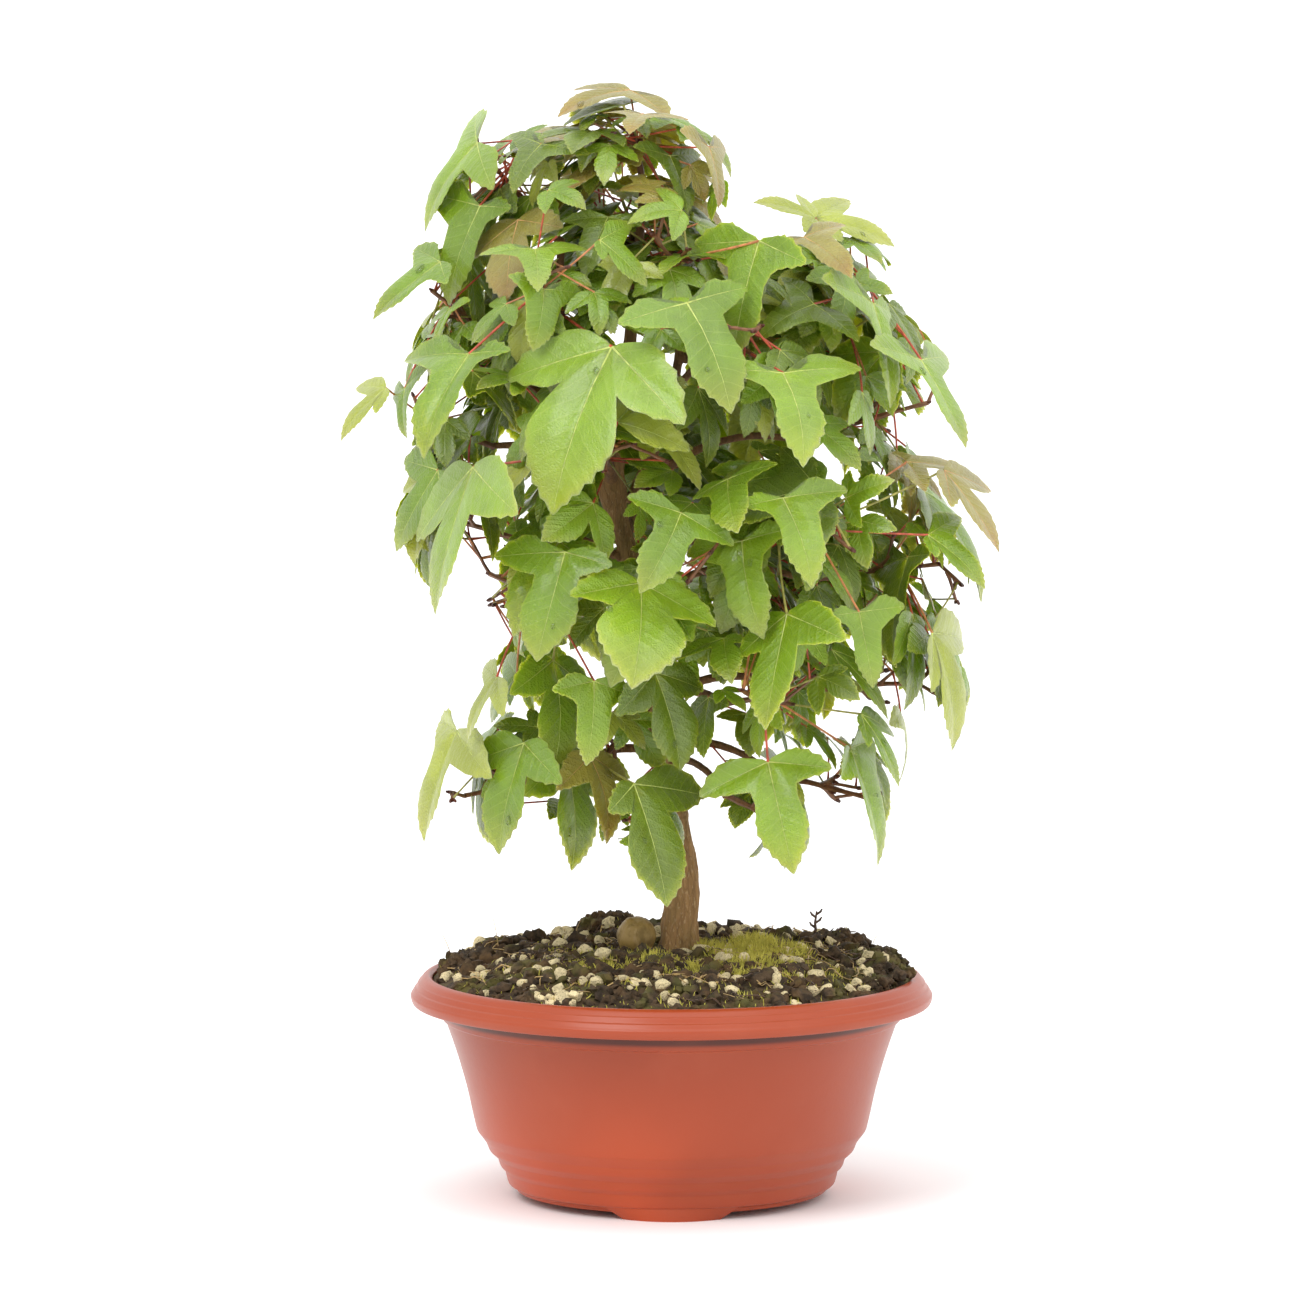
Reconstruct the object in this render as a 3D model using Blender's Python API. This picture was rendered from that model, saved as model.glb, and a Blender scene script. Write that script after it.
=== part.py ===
"""A trident maple grown as a bonsai, in its round plastic bowl.

Metres, +Z up. The bowl's axis is the Z axis, the floor is z = 0 and the front faces -Y.
Lengths in the tables below are in millimetres and are scaled by MM where they are used.
"""

import math
import random

import bmesh
import bpy
from mathutils import Vector
from mathutils.bvhtree import BVHTree

MM = 0.001
GAP = 0.3  # between pieces that touch
UP = Vector((0, 0, 1))
SHARP_FROM = math.radians(30)
MERGE = 1e-6  # points this close, in metres, are one

# Bowl: profiles as (radius, height). The rim rolls over a belly that steps in to a recessed base.
RIM_TOP = 67.5
MOUTH_RADIUS = 72.0
MOUTH_TOP = 66.6
THROAT = 62.5  # below this the inner wall slopes in
WALL = 2.2
BOWL_STEPS = 36
RIM = ((75.0, RIM_TOP), (77.6, 66.3), (78.5, 63.2), (77.8, 59.6), (74.2, 57.2), (69.2, 55.4))
BELLY = ((67.6, 52.6), (64.8, 44.5), (61.6, 33.5), (59.8, 25.0), (59.0, 20.7))
STEPS = ((56.2, 16.8), (55.2, 14.6), (52.6, 12.4), (51.8, 9.8), (50.4, 8.6), (49.4, 4.6))
BASE = ((49.2, 4.2), (46.8, 3.4), (46.8, 2.2))
BASE_BOTTOM = BASE[-1][1]
FLOOR_TOP = 5.2
FLOOR_RADIUS = 46.5
FLOOR_CORNER = (52.0, 16.0)
SHOULDER_INSIDE = (69.2, 58.6)

# Feet: three lugs under the base, one at the front
FEET = 3
FOOT_TOP_WIDTH = 44.0
FOOT_BOTTOM_WIDTH = 30.0
FOOT_INNER = 42.0
FOOT_OUTER = 48.8
FOOT_TOP = 4.4
FOOT_DRAFT = 0.12
FOOT_STEPS = 4

# Soil and the round nut lying on it
SOIL_MIDDLE = 74.3
SOIL_FLAT = 18.0
SOIL_EDGE = 65.4
SOIL_FALL = 1.7  # 1 would be a cone
SOIL_RINGS = (60.0, 44.0, SOIL_FLAT)
SOIL_SIDES = 24
NUT_DIAMETER = 12.0
NUT_PLACE = (-10.6, -5.0)
NUT_SUNK = 1.3
NUT_SIDES = 10
NUT_RINGS = 5

# Trunk: height, x, y and diameter at each place where its line or girth changes
TRUNK = (
    (SOIL_MIDDLE + GAP, 2.0, 0.0, 13.6), (79.0, 2.2, 0.0, 11.4), (96.0, 3.2, 0.0, 10.4),
    (111.0, 0.8, 0.4, 9.5), (129.0, -1.4, 0.8, 9.5), (150.0, -5.0, 1.0, 8.2), (172.0, -8.8, 0.8, 7.0),
    (192.0, -12.4, 0.4, 6.2), (205.0, -16.2, 0.0, 6.2), (214.0, -17.9, -0.4, 9.0),
    (221.0, -17.2, -0.8, 6.4), (240.0, -14.5, -0.8, 4.8), (262.0, -12.0, 0.0, 3.8),
    (288.0, -9.6, 0.4, 2.8), (303.0, -8.7, 0.6, 2.3),
)
TRUNK_SIDES = 9
FLARE = 0.12  # how far the foot's three buttresses stand out, as a share of its radius
FLARE_TURN = 0.6

# Leaders: name, height on the trunk, tip, bow, diameters at root and tip
LEADERS = (
    ("leader_left", 217.0, (-33.0, 3.0, 288.0), (-12.0, 2.0, -6.0), 4.2, 2.4),
    ("leader_right", 203.0, (4.0, 6.0, 274.0), (9.0, 4.0, -4.0), 4.4, 2.4),
)
BOUGH_SIDES = 5
BOUGH_SEGMENTS = 3
BOUGH_SHARE = 0.62  # of the way from its root to the middle of its mass
BOUGH_LIFT = 0.16  # how far a bough arches, as a share of its length
BOUGH_TIP = 2.0
BOUGH_NARROW = 0.8  # a slim bough's tip, as a share of its root
TAPER = 0.8  # under 1 a limb narrows faster near its root

# Masses: name, limb it grows from, height of its root, middle, reach each way,
# diameter of its bough at the root (0 where its stem grows from the limb itself), leaf size
MASSES = (
    ("apex", "trunk", 303.0, (-10.0, -2.0, 312.0), (31.0, 29.0, 25.0), 0.0, 0.78),
    ("top_left", "leader_left", 286.0, (-46.0, 2.0, 302.0), (29.0, 28.0, 25.0), 2.6, 0.80),
    ("top_middle", "trunk", 268.0, (-3.0, -30.0, 282.0), (27.0, 26.0, 24.0), 0.0, 0.86),
    ("top_back", "trunk", 266.0, (-12.0, 36.0, 286.0), (31.0, 28.0, 27.0), 2.6, 0.86),
    ("upper_front_left", "leader_left", 246.0, (-37.0, -38.0, 272.0), (27.0, 27.0, 25.0), 2.8, 0.96),
    ("upper_left", "leader_left", 236.0, (-65.0, -4.0, 268.0), (26.0, 27.0, 24.0), 2.8, 0.96),
    ("upper_front_right", "leader_right", 236.0, (22.0, -50.0, 262.0), (29.0, 28.0, 28.0), 2.8, 1.06),
    ("upper_right", "leader_right", 250.0, (45.0, -4.0, 268.0), (30.0, 30.0, 26.0), 2.8, 0.9),
    ("upper_back_right", "leader_right", 222.0, (34.0, 46.0, 248.0), (32.0, 31.0, 32.0), 3.0, 1.0),
    ("upper_back_left", "trunk", 226.0, (-52.0, 42.0, 248.0), (31.0, 31.0, 31.0), 3.0, 1.0),
    ("big_leaf_front", "trunk", 214.0, (-20.0, -58.0, 230.0), (31.0, 32.0, 30.0), 3.0, 1.0),
    ("right_upper", "leader_right", 214.0, (69.0, 6.0, 236.0), (26.0, 28.0, 31.0), 3.0, 1.0),
    ("left_tip", "trunk", 212.0, (-76.0, 2.0, 235.0), (26.0, 24.0, 20.0), 2.8, 0.82),
    ("left_middle", "trunk", 190.0, (-66.0, -8.0, 204.0), (20.0, 25.0, 32.0), 2.8, 1.0),
    ("back_middle", "trunk", 196.0, (-6.0, 66.0, 208.0), (34.0, 30.0, 33.0), 3.0, 1.05),
    ("right_front", "trunk", 188.0, (38.0, -45.0, 204.0), (28.0, 29.0, 34.0), 3.0, 1.06),
    ("right_middle", "trunk", 180.0, (72.0, -2.0, 190.0), (26.0, 27.0, 25.0), 3.0, 0.95),
    ("front_middle", "trunk", 172.0, (3.0, -52.0, 188.0), (25.0, 27.0, 34.0), 2.8, 1.06),
    ("left_front", "trunk", 168.0, (-37.0, -34.0, 184.0), (24.0, 27.0, 27.0), 2.8, 1.06),
    ("back_left", "trunk", 164.0, (-48.0, 40.0, 180.0), (31.0, 31.0, 34.0), 3.0, 1.0),
    ("back_right", "trunk", 156.0, (38.0, 50.0, 170.0), (34.0, 32.0, 34.0), 3.2, 1.0),
    ("right_lower", "trunk", 150.0, (65.0, 4.0, 154.0), (27.0, 28.0, 28.0), 3.2, 1.0),
    ("front_right_low", "trunk", 146.0, (28.0, -50.0, 156.0), (28.0, 30.0, 27.0), 3.0, 1.0),
    ("left_low_middle", "trunk", 150.0, (-24.0, -30.0, 132.0), (22.0, 26.0, 29.0), 0.0, 1.05),
    ("low_left", "trunk", 134.0, (-53.0, -12.0, 124.0), (27.0, 27.0, 23.0), 3.0, 0.98),
    ("low_right", "trunk", 136.0, (51.0, -16.0, 124.0), (24.0, 27.0, 24.0), 3.0, 0.98),
    ("low_front", "trunk", 127.0, (-5.0, -37.0, 110.0), (22.0, 23.0, 22.0), 0.0, 0.95),
    ("low_front_right", "trunk", 131.0, (27.0, -47.0, 121.0), (26.0, 28.0, 24.0), 2.6, 0.98),
)

# Twigs of one mass
TWIG_SIDES = 3
TWIG_ROOT = 1.3
TWIG_TIP = 0.85
STEM_NODES = (0.42, 0.92)
STEM_REACH = 0.42
SIDE_REACH = 0.46
SIDE_ANGLE = math.radians(52)
SIDE_LENGTH = (0.75, 1.1)
SIDE_WIDE = 0.9  # a side twig's root, as a share of the stem there
STEM_BOW = (3.0, 2.0)  # on along its bough, and up
TIP_SINK = 1.6  # how far inside a twig's tip its last stalks are rooted

# Leaf: sizes as shares of its length, from the joint of its stalk to the tip of its middle lobe
LEAF_LENGTH = (27.0, 45.0, 37.0)  # shortest, longest, usual
SPREAD = (54.0, 80.0)  # degrees from the middle lobe to a side lobe
SIDE_LOBE = (0.55, 0.76)
CURL = (0.10, 0.38)
LOBE_BACK = (0.42, 0.15)  # the corner behind a side lobe, along it and behind it
NOTCH = (0.21, 0.40)
SHOULDER = (0.19, 0.67)
FULL_RIM = 46.0  # a shorter leaf's middle lobe has straight sides
LEAF_THICK = 0.035
BLADE_MIDDLE = 0.3
BLADE_CENTRE = 0.42
STALK_LENGTH = (7.0, 40.0)
STALK_USUAL = 0.55
STALK_STRAIGHT = 5.0  # how far from the usual length a stalk may be for running on into its blade
STALK_WIDE = 0.6
ROOT_WIDE = 0.85  # a stalk's root, as a share of its width

# Where leaves lie
SEED = 2
LEAF_SPACING = 19.0
LEAF_SHELL = 0.72  # where a blade's middle lies, as a share of its mass's reach
INNER_SHELL = 0.36
INNER_SHARE = 0.8
SHELL_DEPTH = 0.2
LEAF_TRIES = 40
TRY_SHRINK = 0.006
TRY_INWARD = 0.013
TRY_SWAY = 0.7
SPACE_SLACK = 1.24
LIMB_CLEAR = 1.0
TWIG_CLEAR = 0.2
BLADE_CLEAR = 1.03
NODE_LENGTH = 3.4
ROOT_OUT = 0.35
NODE_STALKS = 2  # at most, and they leave on sides this different:
STALKS_APART = 0.3
STALK_BEND = 0.35  # a stalk comes from behind its blade or from under it, never from over it
BLOCK_REACH = 75.0
CROWN_MIDDLE = Vector((-6.0, 0.0, 190.0))
CROWN_FLAT = 0.3  # how little a leaf's height turns it up or down
FACING = (0.35, 0.85, 0.55, 0.28)  # out of its mass, out of the crown, up, and by chance
HANGING = (0.8, 0.4, 0.8, 0.35)  # away from its node, out of the crown, down, and by chance
CROWN_LOW = (-100.4, -92.4, 88.0)
CROWN_HIGH = (98.4, 92.4, 337.0)

# Leaves set by hand, as mass, joint and tip: the one large blade at the front, then the
# leaves that reach furthest left, right, up, down, forward and back
SET_LIFT = 0.4  # how far up they face
SET_LEAVES = (
    ("big_leaf_front", (-18.0, -62.0, 255.0), (-34.0, -86.0, 209.0)),
    ("left_tip", (-81.0, -4.0, 245.0), (-100.2, -9.0, 224.0)),
    ("right_middle", (80.0, -8.0, 209.0), (98.2, -13.0, 190.0)),
    ("apex", (-8.0, -4.0, 317.0), (-6.0, -15.0, 336.8)),
    ("low_front", (-3.0, -36.0, 113.0), (-2.0, -44.0, 88.2)),
    ("upper_front_right", (27.0, -70.0, 262.0), (31.0, -92.0, 239.0)),
    ("back_middle", (-4.0, 76.0, 214.0), (1.0, 92.0, 190.0)),
)


def clear_scene():
    for thing in list(bpy.data.objects):
        bpy.data.objects.remove(thing, do_unlink=True)


def finish_colour(name, colour, roughness):
    """A plain Principled finish for one kind of piece."""
    finish = bpy.data.materials.new(name)
    finish.use_nodes = True
    shader = finish.node_tree.nodes["Principled BSDF"]
    shader.inputs["Base Color"].default_value = (*colour, 1)
    shader.inputs["Roughness"].default_value = roughness
    shader.inputs["Metallic"].default_value = 0
    return finish


def make_object(name, points, faces, finish, smooth=False):
    """One closed mesh in world coordinates, given in millimetres."""
    mesh = bpy.data.meshes.new(name)
    mesh.from_pydata([Vector(p) * MM for p in points], [], faces)
    form = bmesh.new()
    form.from_mesh(mesh)
    bmesh.ops.remove_doubles(form, verts=form.verts, dist=MERGE)
    bmesh.ops.recalc_face_normals(form, faces=form.faces)
    form.to_mesh(mesh)
    form.free()
    if smooth:
        shade_round(mesh)
    mesh.materials.append(finish)
    piece = bpy.data.objects.new(name, mesh)
    bpy.context.scene.collection.objects.link(piece)
    return piece


def shade_round(mesh):
    mesh.shade_smooth()
    mesh.set_sharp_from_angle(angle=SHARP_FROM)


def turned(profile, steps):
    """Points and faces of a profile of (radius, height) turned about Z, with both its ends on Z or joined."""
    points, faces = [], []
    for step in range(steps):
        turn = 2 * math.pi * step / steps
        points += [(r * math.cos(turn), r * math.sin(turn), z) for r, z in profile]
    count = len(profile)
    for step in range(steps):
        here, after = step * count, (step + 1) % steps * count
        for i in range(count):
            j = (i + 1) % count
            if profile[i][0] or profile[j][0]:
                faces.append((here + i, here + j, after + j, after + i))
    return points, faces


def union(target, others):
    """Fuses closed meshes into one and removes the ones that went in."""
    group = bpy.data.collections.new(target.name + "_parts")
    for other in others:
        group.objects.link(other)
    join = target.modifiers.new("fuse", "BOOLEAN")
    join.operation = "UNION"
    join.operand_type = "COLLECTION"
    join.collection = group
    join.solver = "EXACT"
    graph = bpy.context.evaluated_depsgraph_get()
    fused = bpy.data.meshes.new_from_object(target.evaluated_get(graph))
    target.modifiers.remove(join)
    target.data = fused
    for other in others:
        bpy.data.objects.remove(other, do_unlink=True)
    bpy.data.collections.remove(group)


def bowl_inside():
    """The inner wall from the floor up to the throat, a wall's thickness inside the belly."""
    belly = [(r - WALL, z) for r, z in (BELLY[3], BELLY[1], BELLY[0])]
    return [(FLOOR_RADIUS, FLOOR_TOP), FLOOR_CORNER, *belly, SHOULDER_INSIDE, (MOUTH_RADIUS, THROAT)]


def make_foot(angle, finish):
    """A lug with a wide top and a narrower flat underside, following the base's curve."""
    points, faces = [], []
    for width, low in ((FOOT_TOP_WIDTH, FOOT_TOP), (FOOT_BOTTOM_WIDTH, 0.0)):
        for radius in (FOOT_INNER, FOOT_OUTER - (FOOT_TOP - low) * FOOT_DRAFT):
            for i in range(FOOT_STEPS + 1):
                turn = angle + (i / FOOT_STEPS - 0.5) * width / FOOT_OUTER
                points.append((radius * math.cos(turn), radius * math.sin(turn), low))
    row = FOOT_STEPS + 1
    for a, b in ((0, 1), (3, 2), (1, 3), (2, 0)):
        for i in range(FOOT_STEPS):
            faces.append((a * row + i, a * row + i + 1, b * row + i + 1, b * row + i))
    for i in (0, FOOT_STEPS):
        faces.append([line * row + i for line in (0, 1, 3, 2)])
    return make_object("foot", points, faces, finish)


def make_pot():
    finish = finish_colour("terracotta_plastic", (0.50, 0.13, 0.06), 0.42)
    floor = [(0, BASE_BOTTOM), (0, FLOOR_TOP)]
    profile = [*RIM, *BELLY, *STEPS, *BASE, *floor, *bowl_inside(), (MOUTH_RADIUS, MOUTH_TOP)]
    pot = make_object("pot", *turned(profile, BOWL_STEPS), finish)
    union(pot, [make_foot(math.radians(-90 + 360 * i / FEET), finish) for i in range(FEET)])
    shade_round(pot.data)
    return pot


def soil_height(radius):
    """The mound: flat in the middle, falling to the rim."""
    fall = max(0, (radius - SOIL_FLAT) / (MOUTH_RADIUS - SOIL_FLAT))
    return SOIL_MIDDLE - (SOIL_MIDDLE - SOIL_EDGE) * fall**SOIL_FALL


def make_soil():
    """The soil fills the bowl, a gap clear of its wall, and stands in a low mound."""
    finish = finish_colour("soil", (0.045, 0.032, 0.022), 0.95)
    side = [(r - GAP, z + GAP) for r, z in bowl_inside()]
    edge = MOUTH_RADIUS - GAP
    top = [(r, soil_height(r)) for r in (edge, *SOIL_RINGS, 0)]
    profile = [(0, FLOOR_TOP + GAP), *side, *top]
    return make_object("soil", *turned(profile, SOIL_SIDES), finish, smooth=True)


def make_nut():
    """A round nut, cut flat where it has sunk into the mound."""
    radius = NUT_DIAMETER / 2
    low = SOIL_MIDDLE + GAP
    middle = low + radius - NUT_SUNK
    start = math.asin((low - middle) / radius)
    profile = [(0, low)]
    for i in range(NUT_RINGS + 1):
        lift = start + (math.pi / 2 - start) * i / NUT_RINGS
        profile.append((radius * math.cos(lift), middle + radius * math.sin(lift)))
    points, faces = turned(profile, NUT_SIDES)
    x, y = NUT_PLACE
    finish = finish_colour("nut_shell", (0.22, 0.12, 0.06), 0.5)
    return make_object("nut", [(px + x, py + y, pz) for px, py, pz in points], faces, finish, smooth=True)


def frame_along(direction):
    """Two unit vectors square to a direction."""
    helper = UP if abs(direction.z) < 0.9 else Vector((1, 0, 0))
    side = direction.cross(helper).normalized()
    return side, side.cross(direction).normalized()


def tube(course, sides):
    """Points and faces of a closed tube along (point, radius) stations."""
    points, faces = [], []
    count = len(course)
    for i, (middle, radius) in enumerate(course):
        ahead = course[min(i + 1, count - 1)][0] - course[max(i - 1, 0)][0]
        side, lift = frame_along(ahead.normalized())
        for k in range(sides):
            turn = 2 * math.pi * k / sides
            points.append(middle + (side * math.cos(turn) + lift * math.sin(turn)) * radius)
    for i in range(count - 1):
        for k in range(sides):
            j = (k + 1) % sides
            a, b = i * sides, (i + 1) * sides
            faces.append((a + k, a + j, b + j, b + k))
    faces.append(tuple(range(sides)))
    faces.append(tuple((count - 1) * sides + k for k in range(sides)))
    return points, faces


def trunk_course():
    return [(Vector((x, y, z)), width / 2) for z, x, y, width in TRUNK]


def trunk_shape(course):
    """Level rings up the trunk, so that its foot is a flat cut on the soil."""
    points, faces = [], []
    sides = TRUNK_SIDES
    for i, (middle, radius) in enumerate(course):
        for k in range(sides):
            turn = 2 * math.pi * k / sides
            flare = 1 + (FLARE * math.cos(3 * turn + FLARE_TURN) if i == 0 else 0)
            points.append(middle + Vector((math.cos(turn), math.sin(turn), 0)) * radius * flare)
    for i in range(len(course) - 1):
        for k in range(sides):
            j = (k + 1) % sides
            a, b = i * sides, (i + 1) * sides
            faces.append((a + k, a + j, b + j, b + k))
    faces.append(tuple(range(sides)))
    faces.append(tuple((len(course) - 1) * sides + k for k in range(sides)))
    return points, faces


def limb_shape(name, course):
    return trunk_shape(course) if name == "trunk" else tube(course, BOUGH_SIDES)


def on_axis(point, course):
    """The nearest point of a limb's middle line."""
    spots = []
    for (a, _), (b, _) in zip(course, course[1:]):
        along = b - a
        share = max(0, min(1, (point - a).dot(along) / along.length_squared))
        spots.append(a + along * share)
    return min(spots, key=lambda spot: (spot - point).length)


def outside(point, course, tree):
    """How far a point lies outside a limb's surface, below 0 inside it."""
    surface, _, _, distance = tree.find_nearest(point)
    axis = on_axis(point, course)
    return distance if (point - axis).length > (surface - axis).length else -distance


def at_height(course, height):
    """The point of a rising limb's middle line at a height, and its radius there."""
    for (a, ra), (b, rb) in zip(course, course[1:]):
        if a.z <= height <= b.z:
            share = (height - a.z) / (b.z - a.z)
            return a.lerp(b, share), ra + (rb - ra) * share
    return course[-1]


def arc(start, bend, end, share):
    """A point on the smooth curve from start to end that leans towards bend."""
    return start.lerp(bend, share).lerp(bend.lerp(end, share), share)


def limb(start, bend, end, wide, tip, parent, course):
    """A tapering limb's stations, from a gap outside its parent's surface to its tip."""
    tree = tree_of(*limb_shape(parent, course))
    step, first = 0.005, 0.0
    while first < 1:
        spots = [arc(start, bend, end, first + step * i) for i in range(2)]
        ring = tube([(spot, wide / 2) for spot in spots], BOUGH_SIDES)[0][:BOUGH_SIDES]
        if min(outside(p, course, tree) for p in ring) >= GAP:
            break
        first += step
    stations = []
    for i in range(BOUGH_SEGMENTS + 1):
        share = first + (1 - first) * i / BOUGH_SEGMENTS
        radius = (wide + (tip - wide) * (i / BOUGH_SEGMENTS) ** TAPER) / 2
        stations.append((arc(start, bend, end, share), radius))
    return stations


def all_limbs():
    """Each limb's stations by name: trunk, leaders and boughs."""
    limbs = {"trunk": trunk_course()}
    for name, height, tip, bow, wide, narrow in LEADERS:
        start, _ = at_height(limbs["trunk"], height)
        end = Vector(tip)
        bend = start.lerp(end, 0.5) + Vector(bow)
        limbs[name] = limb(start, bend, end, wide, narrow, "trunk", limbs["trunk"])
    for name, parent, height, middle, _, wide, _ in MASSES:
        if not wide:
            continue
        start, _ = at_height(limbs[parent], height)
        whole = Vector(middle) - start
        end = start + whole * BOUGH_SHARE
        bend = start.lerp(end, 0.5) + UP * whole.length * BOUGH_LIFT
        tip = min(BOUGH_TIP, wide * BOUGH_NARROW)
        limbs["bough_" + name] = limb(start, bend, end, wide, tip, parent, limbs[parent])
    return limbs


def mass_space(row):
    return Vector(row[3]), Vector(row[4])


def depth_in(point, space):
    """0 at the middle of a mass's space and 1 on its skin."""
    middle, reach = space
    off = point - middle
    return math.sqrt((off.x / reach.x) ** 2 + (off.y / reach.y) ** 2 + (off.z / reach.z) ** 2)


def reaching(point, way, reach, share):
    """A point away from another by a share of a mass's reach in that direction."""
    return point + Vector([way[i] * reach[i] for i in range(3)]) * share


def twigs_of(row, limbs, rng):
    """One mass's stem and the side twigs that leave it in pairs, each as (point, radius) stations."""
    name, parent, height, _, _, wide, _ = row
    middle, reach = mass_space(row)
    if wide:
        course = limbs["bough_" + name]
        ahead = (course[-1][0] - course[-2][0]).normalized()
        root = course[-1][0] + ahead * GAP
    elif height >= limbs[parent][-1][0].z:
        ahead = UP.copy()
        root = limbs[parent][-1][0] + UP * GAP
    else:
        start, radius = at_height(limbs[parent], height)
        ahead = (middle - start).normalized()
        root = start + ahead * (radius + TWIG_ROOT + GAP)
    outward = (middle - root).normalized()
    end = reaching(middle, outward, reach, STEM_REACH)
    bend = root.lerp(end, 0.5) + ahead * STEM_BOW[0] + UP * STEM_BOW[1]
    stem = [(arc(root, bend, end, share), TWIG_ROOT + (TWIG_TIP - TWIG_ROOT) * share)
            for share in (0.0,) + STEM_NODES]
    twigs = [stem]
    turn = rng.uniform(0, math.pi)
    for spot, radius in stem[1:]:
        side, lift = frame_along((end - root).normalized())
        for flip in (0, math.pi):
            away = side * math.cos(turn + flip) + lift * math.sin(turn + flip)
            way = outward * math.cos(SIDE_ANGLE) + away * math.sin(SIDE_ANGLE)
            far = reaching(spot, way, reach, SIDE_REACH * rng.uniform(*SIDE_LENGTH))
            if depth_in(far, (middle, reach)) < LEAF_SHELL:
                twigs.append([(spot, radius * SIDE_WIDE), (far, TWIG_TIP)])
        turn += math.pi / 2 + rng.uniform(-0.3, 0.3)
    return twigs


def nodes_of(twigs):
    """Where leaves may grow from a mass's twigs: points a node's length apart along their outer parts."""
    nodes = []
    for number, twig in enumerate(twigs):
        first = 1 if number == 0 else 0
        for (a, _), (b, _) in zip(twig[first:], twig[first + 1:]):
            length = (b - a).length
            steps = max(1, int((length - TIP_SINK) / NODE_LENGTH))
            for i in range(steps):
                nodes.append(b + (a - b).normalized() * (TIP_SINK + i * NODE_LENGTH))
    return nodes


def half_rim(leaf):
    """Half a blade's rim from its joint to its tip, as (across, along): side lobe, notch, middle lobe."""
    spread, side, length = leaf["spread"], leaf["side"], leaf["length"]
    out = Vector((math.sin(spread), math.cos(spread)))
    back = Vector((math.cos(spread), -math.sin(spread)))
    half = [out * side * LOBE_BACK[0] + back * LOBE_BACK[1], out * side, Vector(NOTCH)]
    if length > FULL_RIM:
        half.append(Vector(SHOULDER))
    return [p * length for p in half]


def blade_point(leaf, x, y, lift=0.0):
    """A point of a blade, which sags away from its middle."""
    length = leaf["length"]
    far = Vector((x, y - BLADE_MIDDLE * length)).length / length
    sag = leaf["curl"] * far**2 * length
    return leaf["joint"] + leaf["across"] * x + leaf["along"] * y + leaf["normal"] * (lift - sag)


def leaf_solid(leaf):
    """A leaf as one closed mesh: a three-sided stalk, a rim, and a point above and below the blade."""
    length, joint = leaf["length"], blade_point(leaf, 0, 0)
    side = leaf["across"]
    ahead = (joint - leaf["root"]).normalized()
    root_side = (side - ahead * side.dot(ahead)).normalized()
    turned_up = side.cross((ahead + leaf["along"]).normalized()).normalized()
    points = []
    for spot, across, lift, wide in (
        (leaf["root"], root_side, root_side.cross(ahead), STALK_WIDE * ROOT_WIDE),
        (joint, side, turned_up, STALK_WIDE),
    ):
        points += [spot + across * wide, spot - across * wide, spot - lift * wide]
    half = half_rim(leaf)
    rim = [3] + list(range(6, 7 + 2 * len(half))) + [4]
    points += [blade_point(leaf, x, y) for x, y in half] + [blade_point(leaf, 0, length)]
    points += [blade_point(leaf, -x, y) for x, y in reversed(half)]
    middle, thick = BLADE_MIDDLE * length, LEAF_THICK * length
    top, low = len(points), len(points) + 1
    points += [blade_point(leaf, 0, middle, thick / 2), blade_point(leaf, 0, middle, -thick / 2)]
    faces = [(a, b, top) for a, b in zip(rim, rim[1:])] + [(4, 3, top)]
    faces += [(b, a, low) for a, b in zip(rim, rim[1:])] + [(3, 5, low), (5, 4, low)]
    faces += [(0, 1, 4, 3), (1, 2, 5, 4), (2, 0, 3, 5), (0, 2, 1)]
    return points, faces


def blade_faces(faces):
    """The faces of a leaf that are its blade alone."""
    return [face for face in faces if min(face) > 2]


def tree_of(points, faces):
    return BVHTree.FromPolygons([tuple(p) for p in points], faces)


def sway(rng, amount):
    return Vector([rng.uniform(-1, 1) for _ in range(3)]) * amount


def face_of(blade, row, rng):
    """Which way a blade at a place faces: out of its mass and out of the crown, and up."""
    mass, crown, up, chance = FACING
    away = Vector([(blade[i] - row[3][i]) / row[4][i] for i in range(3)]).normalized()
    outer = blade - CROWN_MIDDLE
    outer.z *= CROWN_FLAT
    outer.normalize()
    return outer, (away * mass + outer * crown + UP * up + sway(rng, chance)).normalized()


def leaf_at(blade, node, row, size, outer, normal, fall):
    """A leaf whose blade lies about a point, hanging out from its node and down."""
    on, out, down, _ = HANGING
    fall = (blade - node).normalized() * on + outer * out - UP * down + fall
    along = (fall - normal * fall.dot(normal)).normalized()
    joint = blade - along * size * BLADE_CENTRE
    way = (joint - node).normalized()
    return {
        "mass": row[0], "root": node + way * ROOT_OUT, "joint": joint, "along": along, "normal": normal,
        "across": along.cross(normal), "length": size,
    }


def best_leaf(blade, row, size, nodes, used, rng):
    """The leaf from whichever node suits a place best, and that node's number."""
    outer, normal = face_of(blade, row, rng)
    fall = sway(rng, HANGING[3])
    shape = leaf_shape(rng)
    best, lowest = (None, None), 1e9
    for number, node in enumerate(nodes):
        leaf = leaf_at(blade, node, row, size, outer, normal, fall)
        if not stalk_suits(leaf, used.get(number, [])):
            continue
        way = leaf["joint"] - node
        cost = abs(way.length - STALK_USUAL * size) - STALK_STRAIGHT * way.normalized().dot(leaf["along"])
        if cost < lowest:
            best, lowest = (dict(leaf, **shape), number), cost
    return best


def leaf_shape(rng):
    return {
        "spread": math.radians(rng.uniform(*SPREAD)), "side": rng.uniform(*SIDE_LOBE),
        "curl": rng.uniform(*CURL), "tint": rng.random(),
    }


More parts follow.
